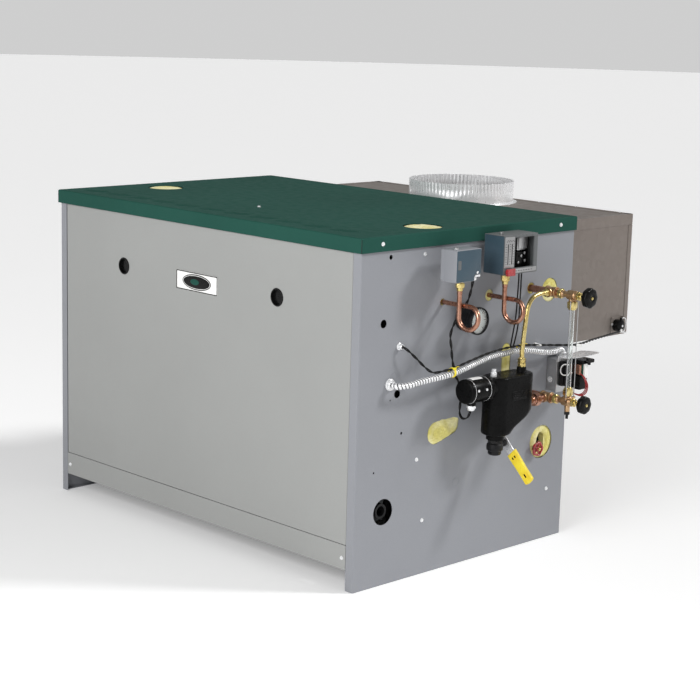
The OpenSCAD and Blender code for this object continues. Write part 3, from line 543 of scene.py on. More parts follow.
def liner_board():
    """Pale pressed insulating board with faint fibres."""
    return Recipe("liner_board", roughness=0.9).layers(
        ((80, 7), (0.56, 0.52, 0.44), (0.72, 0.68, 0.60)), relief=[((300, 6), 0.5, 0.0008)])


def clear_glass():
    """Clear glass with a green cast and faint drawing lines."""
    return Recipe("clear_glass", roughness=0.01, Transmission_Weight=1.0, IOR=1.47).layers(
        ((12, 2), (0.95, 0.985, 0.975), (0.97, 0.99, 0.985)), relief=[((90, 2, (1, 1, 0.1)), 0.02, 0.0003)])


def dial_white():
    """White printed enamel."""
    return Recipe("dial_white", roughness=0.35, Coat_Weight=0.3).layers(
        ((60, 4), (0.88, 0.88, 0.86), (0.95, 0.95, 0.93)), gloss=((200, 3), 0.3, 0.45))


def control_blue():
    """Blue-grey hammered cover enamel."""
    return enamel("control_blue", (0.045, 0.078, 0.104), 0.10, (0.3, 0.42), 0.16, 0.0015, 0.4)


def control_grey():
    """Grey cover enamel."""
    return enamel("control_grey", (0.120, 0.127, 0.130), 0.08, (0.34, 0.46), 0.12, 0.0015, 0.4)


def red_part():
    """Glossy dark red enamel, thick in the hollows."""
    return Recipe("red_part", roughness=0.25, Coat_Weight=0.5, Coat_Roughness=0.1).layers(
        ((60, 5), (0.24, 0.012, 0.014), (0.46, 0.03, 0.035)), gloss=((140, 4), 0.18, 0.36),
        relief=[((380, 4), 0.12, 0.0003)], edge=0.0008)


def black_plastic():
    """Moulded black phenolic, polished by hands."""
    return Recipe("black_plastic", roughness=0.2, Specular_IOR_Level=0.14).layers(
        ((50, 5), (0.003, 0.003, 0.003), (0.007, 0.007, 0.007)), gloss=((120, 5), 0.14, 0.34),
        relief=[((420, 3), 0.05, 0.0002)], edge=0.0008)


def yellow_vinyl():
    """Dipped yellow vinyl, with a faint drip texture and a little grime."""
    return Recipe("yellow_vinyl", roughness=0.42, Subsurface_Weight=0.05).layers(
        ((30, 5), (0.80, 0.56, 0.02), (0.93, 0.78, 0.045)), ((120, 6), 0.35, 0.55, 0.8, (0.36, 0.24, 0.02)),
        ((90, 3), 0.36, 0.52), [((260, 3), 0.08, 0.0004)], edge=0.001)


def lead_sheath():
    """Black rubbery lead sheath with a soft sheen."""
    return Recipe("lead_sheath", roughness=0.45, Specular_IOR_Level=0.2).layers(
        ((90, 4), (0.004, 0.004, 0.004), (0.010, 0.010, 0.010)), gloss=((200, 3), 0.36, 0.56),
        relief=[((700, 2), 0.06, 0.0001)])


FINISHES = {f.__name__: f for f in (
    jacket_green, door_grey, panel_grey, galvanised, bright_zinc, cast_iron, black_iron, dark_steel, steel,
    brass, bronze, copper, insulation, liner_board, clear_glass, dial_white, control_blue, control_grey,
    red_part, black_plastic, yellow_vinyl, lead_sheath)}
made_finishes = {}


def material(name):
    """The finish of that name, made the first time it is asked for."""
    if name not in made_finishes:
        made_finishes[name] = FINISHES[name]().material
    return made_finishes[name]


def coat(node):
    """Gives a CAD node the finish of its slot in the record."""
    finish = next(s["material_slot"] for s in frame["record"]["subparts"] if s["node"] == node)
    mesh = frame["nodes"][node].data
    mesh.materials.clear()
    mesh.materials.append(material(finish))


# ---------- jacket and flue ----------

def outline_of(*points, r):
    """Closed outline through the points with its corners rounded."""
    return fillet(points, r, closed=True, steps=6)


def circle(centre, r, count=48, stretch=1.0):
    """Outline of a circle, or of an ellipse stretched along its first coordinate."""
    a = np.linspace(0, TURN, count, endpoint=False)
    return np.stack([centre[0] + stretch * r * np.cos(a), centre[1] + r * np.sin(a)], 1)


def wool_pad(axis, outline, base, crown, seed, depth=14.0, rough=2.2, rings=26):
    """Tuft of wool: the outline drawn in to its middle by a share s, standing crown times one less s
    to the fourth above its base with a lumpy height on top, and shut behind."""
    centre = outline.mean(0)
    s = np.concatenate([np.linspace(0.02, 1.0, rings), [1.0]])[:, None]
    u = centre[0] + s * (outline[:, 0] - centre[0])
    v = centre[1] + s * (outline[:, 1] - centre[1])
    flat = place(axis, 0 * u, u, v)
    lumps = fuzz(flat, 60.0, seed) + 0.6 * fuzz(flat, 19.0, seed + 1) + 0.45 * fuzz(flat, 7.0, seed + 2)
    along = base + crown * (1 - s ** 4) + rough * lumps
    along[-1] = base - depth
    return place(axis, along, u, v)


def wool_slab(lo, hi, seed, along="y", step=14.0):
    """Blanket: a rounded rectangle of evenly spaced points carried along an axis, each point drawn in
    towards the middle by a lumpy depth."""
    a, b, c = ACROSS[along]
    outline = rectangle((lo[b], lo[c]), (hi[b], hi[c]), 5.0)
    closed = np.column_stack([np.zeros(len(outline) + 1), np.vstack([outline, outline[:1]])])
    outline = even(closed, step)[:-1, 1:]
    stations = np.linspace(lo[a], hi[a], int((hi[a] - lo[a]) / step) + 2)[:, None]
    grid = place(along, stations + 0 * outline[:, 0], outline[:, 0], outline[:, 1])
    inward = (lo + hi) / 2 - grid
    inward[..., a] = 0
    thin = int(np.argmin(np.where(np.arange(3) == a, np.inf, hi - lo)))
    push = np.zeros_like(grid)
    push[..., thin] = np.sign(inward[..., thin])
    return grid + push * (2.2 + 1.2 * fuzz(grid, 110.0, seed) + 0.8 * fuzz(grid, 38.0, seed + 1))[..., None]


def make_wool():
    """Blankets under the lid and behind the side panels, and the tufts that show in their openings."""
    lo, hi = corners("top_insulation")
    make("top_blanket", Shell(wool_slab(lo, hi, 3)), "insulation", stands_for=["top_insulation"], sharp=60)
    tufts = Shell()
    for k, riser in enumerate(RISERS):
        tufts.add(wool_pad("z", circle(riser, RISER_R - 0.6), LID_HI[2] - 4.0, 4.5, 20 + k, rough=1.2))
    pear = outline_of((-168, 396), (-150, 378), (-110, 382), (-62, 400), (-36, 428), (-40, 446), (-70, 450),
                      (-136, 447), (-162, 432), r=26.0)
    face = PANEL_X - 1.5
    tufts.add(wool_pad("x", pear, face, 5.0, 31, rough=1.6))
    tufts.add(wool_pad("x", rectangle((143, 521), (181, 639), 19), face - 1.0, 4.0, 33, rough=1.6))
    tufts.add(wool_pad("x", circle((349, 782), 35.5), face - 1.0, 5.5, 35, rough=2.2))
    make("wool_tufts", tufts, "insulation", sharp=60)
    lo, hi = corners("side_insulation")
    near, far = DRAIN + 2.0 - 48.0, DRAIN + 2.0 + 48.0
    blankets = Shell(wool_slab(np.array([-hi[0], *lo[1:]]), np.array([-SIDE_SHEET_X, *hi[1:]]), 5))
    for k, (a, b) in enumerate((
            ((lo[1], lo[2]), (near[0], hi[2])), ((far[0], lo[2]), (hi[1], hi[2])),
            ((near[0], far[1]), (far[0], hi[2])), ((near[0], lo[2]), (far[0], near[1])))):
        blankets.add(wool_slab(np.array([SIDE_SHEET_X, *a]), np.array([hi[0], *b]), 7 + k))
    make("side_blankets", blankets, "insulation", stands_for=["side_insulation"], sharp=60)
    a = np.linspace(0, TURN, 160, endpoint=False)
    q = np.linspace(0, TURN, 32, endpoint=False)[:, None]
    slit = 1 / np.hypot(np.cos(a) / 19.0, np.sin(a) / 27.0)
    rim = SIDE_HOLE_R + 0 * a
    radius = (rim + slit) / 2 + (rim - slit) / 2 * np.cos(q)
    along = face - 8.0 + 9.5 * np.sin(q) + 0 * a
    drift = 4.0 * (0.5 - 0.5 * np.cos(q))
    collar = place("x", along, SIDE_HOLE[0] + drift + radius * np.cos(a), SIDE_HOLE[1] + radius * np.sin(a))
    lumps = fuzz(collar, 40.0, 50) + 0.6 * fuzz(collar, 12.0, 51)
    collar[..., 0] += 1.5 * lumps
    make("wool_collar", Shell().add(collar, loop=True), "insulation", sharp=60)


def make_lid_trim():
    """Dark joints at the lid's front corners."""
    joints = Shell()
    skirt_lo, top = LID_LO[2] + 0.5, LID_HI[2] - 4.0
    for side in (-1, 1):
        joints.add(brick((side * LID_HI[0] - 0.9, LID_LO[1] - 0.25, skirt_lo),
                         (side * LID_HI[0] + 0.25, LID_LO[1] + 1.4, top), 0.2, 0.15))
    make("lid_corner_joints", joints, "dark_steel")


def make_door_trim():
    """Snap-in grommets in the finger holes, and the badge: a bright plate with a plain dark field."""
    grommets = Shell()
    y = FRONT_Y
    for hole in FINGER_HOLES:
        grommets.add(ring("y", hole, [(y - 1.6, 22.2), (y - 2.2, 23.6), (y - 1.9, 25.6), (y - 0.6, 26.6),
                                            (y - 0.1, 26.4), (y - 0.1, 24.2), (y + 1.7, 24.2),
                                            (y + 4.0, 25.2),
                                            (y + 6.0, 23.6), (y + 6.0, 22.2)]), loop=True)
        grommets.add(solid("y", hole, [(y + 6.2, 23.8), (y + 8.0, 23.8)], core=0.2))
    make("finger_grommets", grommets, "black_plastic", body="front_door")
    lo, hi = corners("badge_plate")
    centre = ((lo + hi) / 2)[[0, 2]]
    plate = prism("y", rectangle(lo[[0, 2]], hi[[0, 2]], 3.5), lo[1], hi[1], 0.5)
    make("badge_back", Shell(plate), "dial_white", body="front_door", stands_for=["badge_plate"])

    def band(shape, out, within, proud):
        """Flat closed band between two outlines of the same shape, standing proud of the plate."""
        loops = [(out, lo[1] + 0.3), (out, lo[1] - proud), (within, lo[1] - proud), (within, lo[1] + 0.3)]
        return np.stack([place("y", d + 0 * shape(o)[:, 0], shape(o)[:, 0], shape(o)[:, 1]) for o,
                         d in loops])

    def frame_line(d):
        return rectangle(lo[[0, 2]] + d, hi[[0, 2]] - d, 3.0)

    def oval(d):
        return circle(centre, 23.5 - d, 72, (66.0 - d) / (23.5 - d))

    make("badge_rim", Shell().add(band(frame_line, 0.4, 3.0, 0.45), loop=True), "black_plastic",
         body="front_door")
    make("badge_field", Shell(prism("y", oval(0), lo[1] - 0.5, lo[1] + 0.3, 0.25)), "black_plastic",
         body="front_door")
    make("badge_ring", Shell().add(band(oval, 3.2, 4.6, 0.75), loop=True), "dial_white", body="front_door")
    bars = Shell(prism("y", circle(centre - (9, 0), 9.0, 48, 2.2), lo[1] - 0.8, lo[1] - 0.3, 0.15))
    make("badge_band", bars, "jacket_green", body="front_door")


def make_knockouts():
    """Pressed knock-out rings in the right-hand panel."""
    rings = Shell()
    x = PANEL_X
    for y, z, r in KNOCKOUTS:
        rings.add(ring("x", (y, z), [(x - 0.6, r), (x + 0.35, r - 0.3), (x + 0.35, r - 1.3),
                                     (x - 0.6, r - 1.7)]),
                  loop=True)
    make("panel_knockouts", rings, "panel_grey")


def make_flue():
    """Crimped flue collar with its lock seam and rivets, and the draft hood's cover with folded lips."""
    lo, hi = corners("flue_collar")
    centre = ((lo + hi) / 2)[:2]
    bottom, top, outer, gauge = lo[2], hi[2], 178.0, 0.9
    flutes, sides = 84, 84 * 6
    a = np.linspace(0, TURN, sides, endpoint=False)
    z = np.concatenate([[bottom + 0.2, bottom + 12], np.linspace(bottom + 26, top, 14)])
    rise = np.clip((z - bottom - 26) / (top - bottom - 44), 0, 1)
    depth = 2.3 * (rise * rise * (3 - 2 * rise))[:, None]
    rng = np.random.default_rng(8)
    uneven = 1 + 0.10 * np.interp(a, np.linspace(0, TURN, 85), rng.normal(size=85))
    wave = depth * (0.5 - 0.5 * np.cos(flutes * a)) * uneven
    skin = outer - 0.6 - wave + 0.5 * np.sin(3 * a + 1.0) * rise[:, None]
    rings = np.vstack([skin, (skin - gauge)[::-1]])
    heights = np.concatenate([z, z[::-1]])[:, None]
    collar = Shell().add(place("z", heights + 0 * a, centre[0] + rings * np.cos(a),
                               centre[1] + rings * np.sin(a)),
                         loop=True)
    collar.add(ring("z", centre, [(bottom, outer - 1.6), (bottom, outer + 11.5),
                                  (bottom + 1.1, outer + 11.5),
                                  (bottom + 1.3, outer + 1.5), (bottom + 5.0, outer + 0.2),
                                  (bottom + 5.0, outer - 1.6)], 96), loop=True)
    make("flue_collar_crimped", collar, "bright_zinc", stands_for=["flue_collar"], sharp=50)
    seam_at = math.radians(238)
    details = Shell()
    for r, w in ((outer - 0.2, 7.5), (outer + 0.5, 4.0)):
        spread = np.linspace(-w / outer, w / outer, 9) + seam_at
        arc = np.stack([np.cos(spread), np.sin(spread)], 1)
        outline = np.concatenate([r * arc, (r - 1.2) * arc[::-1]])
        details.add(prism("z", outline + centre, bottom + 4, top - 34, 0.3))
    for t in np.arange(10) * TURN / 10 + 0.2:
        spot = centre + (outer + 6.5) * np.array([math.cos(t), math.sin(t)])
        details.add(turned("z", spot, [(bottom + 1.0, 0.1), (bottom + 1.0, 3.4), (bottom + 2.6, 2.6),
                                       (bottom + 3.2, 0.1)], 16))
    make("flue_collar_seam", details, "bright_zinc")
    lo, hi = corners("draft_hood")
    cover = Shell()
    lip, t = 34.0, 1.0
    front, back = LID_HI[1] + 1.0, hi[1] + 1.2
    for side in (-1, 1):
        x = side * (hi[0] + 0.1)
        outline = outline_of((x, hi[2] - lip), (x + side * t, hi[2] - lip), (x + side * t, hi[2] + t),
                             (x - side * 22, hi[2] + t), (x - side * 22, hi[2] + 0.05), (x, hi[2] + 0.05),
                             r=0.4)
        cover.add(prism("y", outline, front, back, 0.3))
        post = outline_of((x - side * 20, hi[1] + 0.1), (x + side * 0.2, hi[1] + 0.1),
                          (x + side * 0.2, hi[1] - 18), (x + side * 1.1, hi[1] - 18),
                          (x + side * 1.1, hi[1] + 1.1), (x - side * 20, hi[1] + 1.1), r=0.4)
        cover.add(prism("z", post, lo[2], hi[2] - lip - 1.0, 0.3))
    rear = outline_of((hi[1] + 0.1, hi[2] - lip), (hi[1] + 1.1, hi[2] - lip), (hi[1] + 1.1, hi[2] + t),
                      (hi[1] - 22, hi[2] + t), (hi[1] - 22, hi[2] + 0.05), (hi[1] + 0.1, hi[2] + 0.05),
                      r=0.4)
    cover.add(prism("x", rear, lo[0] - 1.0, hi[0] + 1.0, 0.3))
    make("hood_cover_lips", cover, "galvanised")


# ---------- pressure controls ----------

def make_limit_control():
    """Limit control: enamelled cover over a shallow base, with a cut-away corner and a blank plate."""
    lo, hi = corners("limit_control_case")
    notch_y, notch_z = 26.0, 18.0

    def face(d):
        return outline_of((lo[1] + d, lo[2] + d), (hi[1] - notch_y - d, lo[2] + d),
                          (hi[1] - notch_y - d, lo[2] + notch_z + d), (hi[1] - d, lo[2] + notch_z + d),
                          (hi[1] - d, hi[2] - d), (lo[1] + d, hi[2] - d), r=4.0)

    split = lo[0] + 12.0
    case = Shell(prism("x", face(1.2), lo[0], split, 0.5), prism("x", face(0.0), split, hi[0], 2.2))
    make("limit_cover", case, "panel_grey", stands_for=["limit_control_case"])
    make("limit_face", Shell(prism("x", face(1.6), hi[0] - 0.2, hi[0] + 0.5, 0.3)), "control_blue")
    plate = Shell(prism("x", rectangle((lo[1] + 6, lo[2] + 36), (lo[1] + 19, lo[2] + 62), 3), hi[0] + 0.3,
                        hi[0] + 0.9, 0.2))
    make("limit_plate", plate, "control_grey")
    slot = Shell(nut("z", (776, -168), hi[2] + 0.2, hi[2] + 3.0, 6.0, 8))
    slot.add(brick((hi[0] - 8, hi[1] - 22, lo[2] + 11), (hi[0] - 1, hi[1] - 1, lo[2] + 16.5), 1.0, 0.5))
    slot.add(nut("x", (hi[1] - 16, lo[2] + 24), hi[0] + 0.3, hi[0] + 2.4, 3.4))
    make("limit_bright_parts", slot, "bright_zinc")


def make_pressure_control():
    """Pressure control: a window over its black switch, with black walls lining the case round it as
    painted shade, a printed scale with two slots, and a label.
    """
    lo, hi = corners("pressure_control_case")
    x = hi[0]
    scale = Shell(prism("x", rectangle((lo[1] + 3, 888), (58, hi[2] - 4), 1.5), x - 0.2, x + 0.5, 0.2),
                  prism("x", rectangle((57, lo[2] + 3), (hi[1] - 3, 883.5), 1.2), x - 0.2, x + 0.5, 0.2))
    make("pressure_scale", scale, "steel")
    side = prism("y", rectangle((lo[0] + 1.2, lo[2] + 1.2), (hi[0] - 1.2, hi[2] - 1.2), 2.0), lo[1] - 0.5,
                 lo[1] + 0.2, 0.2)
    make("pressure_side", Shell(side), "control_blue")
    marks = Shell()
    for y in (31.0, 48.0):
        marks.add(prism("x", rectangle((y - 1.6, 897), (y + 1.6, 956), 1.4), x + 0.2, x + 0.7, 0.1))
    for k in range(9):
        z = 898.0 + 7.1 * k
        for y, w in ((22.5, 4.0 if k % 2 else 2.5), (39.5, 3.0), (54.0, 2.0)):
            marks.add(brick((x + 0.3, y - w, z), (x + 0.65, y + w, z + 1.2), 0.1, 0.1))
    for k in range(7):
        marks.add(brick((x + 0.3, 23 + 5 * k, 962 + 3.0 * (k % 2)),
                        (x + 0.65, 26.5 + 5 * k, 964.2 + 3.0 * (k % 2)),
                        0.1, 0.1))
        marks.add(brick((x + 0.3, 66 + 11 * k, 876), (x + 0.65, 73 + 11 * k, 877.6), 0.1, 0.1))
    make("pressure_marks", marks, "black_plastic")
    window_y, window_z = (61.0, 144.0), (886.0, 972.0)
    frame_loops = []
    for d, depth in ((-0.4, x - 2.0), (-0.4, x + 0.6), (-2.4, x + 0.6), (-2.6, x + 0.1)):
        o = rectangle((window_y[0] - 0.4 + d, window_z[0] - 0.4 + d),
                      (window_y[1] + 0.4 - d, window_z[1] + 0.4 - d), 2.0)
        frame_loops.append(place("x", depth + 0 * o[:, 0], o[:, 0], o[:, 1]))
    make("pressure_window_lip", Shell().add(np.stack(frame_loops), loop=True), "control_grey")
    works = Shell(brick((727, 100, 930), (768, 138, 966), 2.0, 1.0),
                  brick((768, 104, 934), (770.5, 140, 970), 1.0, 0.4),
                  solid("x", (74.0, 958.0), [(727, 5.5), (760, 5.5), (762, 3.5)], 20))
    for k in range(6):
        works.add(ring("x", (82.0, 912.0), [(740 + 5 * k, 7.0), (741.5 + 5 * k, 8.6), (743 + 5 * k, 7.0),
                                            (741.5 + 5 * k, 6.0)], 28), loop=True)
    for y, z in ((112, 914), (128, 900), (100, 896), (126, 922)):
        works.add(nut("x", (y, z), 771, 775, 3.6))
    make("pressure_works", works, "steel")
    # switch body and base plate in black plastic; the three thin walls lining the case behind the window
    # are black as painted shade
    switch_and_shade_lining = Shell(brick((727, 94, 880), (770, 138, 926), 2.5, 1.2),
                  brick((727, 66, 930), (752, 96, 950), 2.0, 1.0),
                  brick((719.7, 64, 871.5), (724, 142, 974), 1.0, 0.4),
                  brick((724, 66, 970), (775, 140, 972.5), 0.8, 0.3),
                  brick((724, 139.5, 873), (775, 142, 972), 0.8, 0.3),
                  brick((724, 66, 872), (775, 140, 874.5), 0.8, 0.3))
    make("pressure_switch_and_shade_lining", switch_and_shade_lining, "black_plastic", stands_for=["pressure_control_switch"])


def pigtail(x, y):
    """Pigtail siphon's route: down from the control, once round a circle while it drifts sideways, and
    straight back into the jacket."""
    loop_r, eye_z, drift = 32.0, 760.0, 14.4
    a = np.radians(180 + np.linspace(0, 270, 46))
    share = np.linspace(0, 1, 46)
    turn = np.stack([x + loop_r + loop_r * np.cos(a), y + drift * share, eye_z + loop_r * np.sin(a)], 1)
    drop = np.stack([np.full(8, x), np.full(8, y), np.linspace(838, eye_z + 6, 8)], 1)
    back = np.linspace(x + loop_r - 6, 650, 16)
    tail = np.stack([back, np.full(16, y + drift + 0.2), np.full(16, eye_z + loop_r)], 1)
    return np.vstack([drop, turn, tail])


SIPHONS = ((766.0, -137.0), (761.0, 61.0))
CONTROL_Z = (corners("limit_control_case")[0][2], corners("pressure_control_case")[0][2])


def make_siphons():
    """Two copper pigtails with their flared nuts."""
    tubes, nuts = Shell(), Shell()
    for (x, y), z in zip(SIPHONS, CONTROL_Z):
        tubes.add(tube(pigtail(x, y), 6.85, 28))
        tubes.add(turned("z", (x, y), [(826, 6.9), (827, 7.9), (838, 7.9), (839, 6.9)], 28))
        nuts.add(turned("z", (x, y), [(834, 7.0), (836, 8.8), (842, 9.4), (849, 9.4), (849, 7.0)], 32))
        nuts.add(nut("z", (x, y), 844, z - 6, 11.4))
        nuts.add(turned("z", (x, y), [(z - 7, 7.0), (z - 7, 9.6), (z - 0.2, 9.6), (z - 0.2, 7.0)], 32))
    lo = corners("siphon_fittings")[0]
    gauge_back = corners("gauge_case")[0][0]
    nuts.add(solid("x", GAUGE, [(lo[0], 6.8), (gauge_back - 0.2, 6.8)], 28, core=0.2))
    make("siphon_tubes", tubes, "copper", stands_for=["siphons"])
    make("siphon_nuts", nuts, "brass", stands_for=["siphon_fittings"])


def make_gauge():
    """Pressure gauge: deep-drawn case with a rolled rim, printed dial, spear pointer and domed lens."""
    lo, hi = corners("gauge_case")
    back, front, r = lo[0], hi[0], 40.0
    case = ring("x", GAUGE, [(back, 0.4), (back, 30.0), (back + 2, 34.0), (back + 6, 35.5),
                             (front - 22, 35.5),
                             (front - 19, 36.8), (front - 16, 39.2), (front - 12, 40.0), (front - 6, 40.0),
                             (front - 1.5, 39.2), (front, 37.6), (front - 1.2, 36.3), (front - 4, 35.8),
                             (front - 13.9, 35.6), (front - 14.4, 0.4)])
    make("gauge_shell", Shell().add(case, loop=True), "dark_steel", stands_for=["gauge_case"])
    face = solid("x", GAUGE, [(front - 13.8, 35.4), (front - 13.0, 35.4)], 64,
                  0.1, core=0.2)
    make("gauge_face", Shell(face), "dial_white", stands_for=["gauge_dial"])
    marks = Shell()
    for k in range(31):
        a = math.radians(225 - 9 * k)
        long = k % 5 == 0
        inner, outer, w = (26.0 if long else 29.0), 33.0, (0.7 if long else 0.35)
        radial, across = np.array([math.cos(a), math.sin(a)]), np.array([-math.sin(a), math.cos(a)])
        outline = np.array([inner * radial - w * across, outer * radial - w * across,
                            outer * radial + w * across, inner * radial + w * across]) + GAUGE
        marks.add(prism("x", outline, front - 13.1, front - 12.7, 0.05))
    band = np.radians(np.linspace(225, -45, 60))
    round_it = np.stack([np.cos(band), np.sin(band)], 1)
    arc = np.concatenate([33.6 * round_it, 33.0 * round_it[::-1]])
    marks.add(prism("x", arc + GAUGE, front - 13.1, front - 12.75, 0.02))
    make("gauge_marks", marks, "black_plastic")
    a = math.radians(225)
    radial, across = np.array([math.cos(a), math.sin(a)]), np.array([-math.sin(a), math.cos(a)])
    spear = [(-13, 2.6), (-9, 2.2), (-3, 1.0), (12, 1.1), (22, 0.8), (30, 0.15)]
    outline = np.array([d * radial + w * across for d, w in spear]
                       + [d * radial - w * across for d, w in spear[::-1]]) + GAUGE
    pointer = Shell(prism("x", outline, front - 10.6, front - 9.8, 0.15),
                    turned("x", GAUGE, [(front - 28, 0.2), (front - 28, 1.9), (front - 11.4, 1.9),
                                        (front - 11.2, 4.2),
                                        (front - 9.4, 4.2), (front - 8.4, 2.4), (front - 8.2, 0.2)], 24))
    make("gauge_spear", pointer, "black_plastic", body="gauge_pointer", stands_for=["gauge_pointer"])
    lens = turned("x", GAUGE, [(front - 5.6, 0.2), (front - 5.6, 35.5), (front - 4.2, 35.5),
                               (front - 2.6, 30.0),
                               (front - 1.4, 18.0), (front - 1.0, 0.2)], 64)
    make("gauge_window", Shell(lens), "clear_glass", stands_for=["gauge_lens"])


# ---------- water trim ----------

def hoop(axis, centre, along, radius, section, sides=96, lobes=0, depth=0.0, flat=1.0):
    """Closed ring: a circle of the section's radius carried round an axis at a radius that the lobes
    make less by depth times half of one less the cosine of lobes times the angle."""
    a = np.linspace(0, TURN, sides, endpoint=False)
    q = np.linspace(0, TURN, 20, endpoint=False)[:, None]
    reach = radius * (1 - depth * (0.5 - 0.5 * np.cos(lobes * a))) + section * np.cos(q)
    return place(axis, along + flat * section * np.sin(q) + 0 * a,
                 centre[0] + reach * np.cos(a), centre[1] + reach * np.sin(a))


def rod(axis, centre, a, b, r, soften=0.5, sides=32):
    """Round bar with eased ends."""
    return solid(axis, centre, [(a, r), (b, r)], sides, soften)


def make_cocks():
    """Gauge cocks: cast bodies with hexagon unions, and the guard rods' lugs."""
    bodies, nuts = Shell(), Shell()
    gx, gy = GLASS
    for z, d in zip(COCK_Z, (-1, 1)):
        nuts.add(nut("x", (gy, z), TEE_X + 27, TEE_X + 41, 13.2, turn=0.3 * d))
        bodies.add(solid("x", (gy, z), [
            (TEE_X + 40, 11.5), (TEE_X + 44, 11.5), (TEE_X + 46, 9.4), (gx - 21, 9.0),
            (gx - 17, 13.2), (gx - 12, 14.4), (gx + 10, 14.4), (gx + 14, 12.6), (gx + 18, 12.6)],
            48, 1.6))
        nuts.add(nut("x", (gy, z), gx + 18, gx + 28, 11.6, turn=0.2))
        nuts.add(solid("x", (gy, z), [(gx + 28, 8.6), (gx + 33, 8.2), (gx + 36, 5.6)],
                        32, 0.8))
        bodies.add(solid("z", GLASS, [(z, 12.4), (z + d * 14, 12.4), (z + d * 16, 10.6),
                                       (z + d * 21, 10.6)], 40, 1.2))
        nuts.add(nut("z", GLASS, min(z + d * 18, z + d * 38), max(z + d * 18, z + d * 38), 13.4, turn=0.35))
        nuts.add(solid("z", GLASS, [(z + d * 37.5, 12.0), (z + d * 42, 11.4),
                                     (z + d * 43, 10.0)], 40, 0.8))
        low, high = sorted((z + d * 8.5, z + d * 14.2))
        bodies.add(prism("z", rectangle((gx + 3, gy - 23), (gx + 13, gy + 23), 4.8), low, high, 1.2))
    low = COCK_Z[1]
    bodies.add(solid("z", GLASS, [(low - 30, 8.0), (low - 13, 8.0)], 32))
    make("cock_bodies", bodies, "bronze", stands_for=["gauge_cocks"])
    make("cock_nuts", nuts, "brass")
    bit = Shell(nut("z", GLASS, low - 40, low - 31, 7.2),
                solid("z", GLASS, [(low - 52, 4.2), (low - 40, 4.2)], 24))
    make("cock_drain", bit, "dark_steel")
    for z, r, body, node in ((COCK_Z[0], 30.0, "upper_cock_wheel", "cock_wheel_top"),
                             (COCK_Z[1], 27.0, "lower_cock_wheel", "cock_wheel_low")):
        knob = solid("x", (gy, z), [
            (gx + 50, 0.55 * r), (gx + 51, 0.86 * r), (gx + 54, r), (gx + 67, r),
            (gx + 70.5, 0.86 * r), (gx + 72, 0.6 * r), (gx + 72.3, 0.35 * r), (gx + 70.5, 0.26 * r)], 128,
            3.0, lobes=8, depth=0.045, core=0.2)
        make(node + "_knob", Shell(knob), "black_plastic", body=body, stands_for=[node])
        stem = Shell(rod("x", (gy, z), gx + 22, gx + 55, 4.0, 0.3, 24),
                     nut("x", (gy, z), gx + 70, gx + 73, 4.2))
        make(node + "_stem", stem, "brass", body=body)
    glass = ring("z", GLASS, [(COCK_Z[1] + 21, 6.4), (COCK_Z[1] + 21, 8.0), (COCK_Z[0] - 21, 8.0),
                              (COCK_Z[0] - 21, 6.4)], 40)
    make("gauge_tube", Shell().add(glass, loop=True), "clear_glass", stands_for=["gauge_glass"])
    rods = Shell()
    for side in (-1, 1):
        rods.add(rod("z", (gx + 8, gy + side * 18.2), COCK_Z[1] + 7, COCK_Z[0] - 7, 1.4, 0.3, 16))
    make("guards", rods, "steel", stands_for=["guard_rods"])


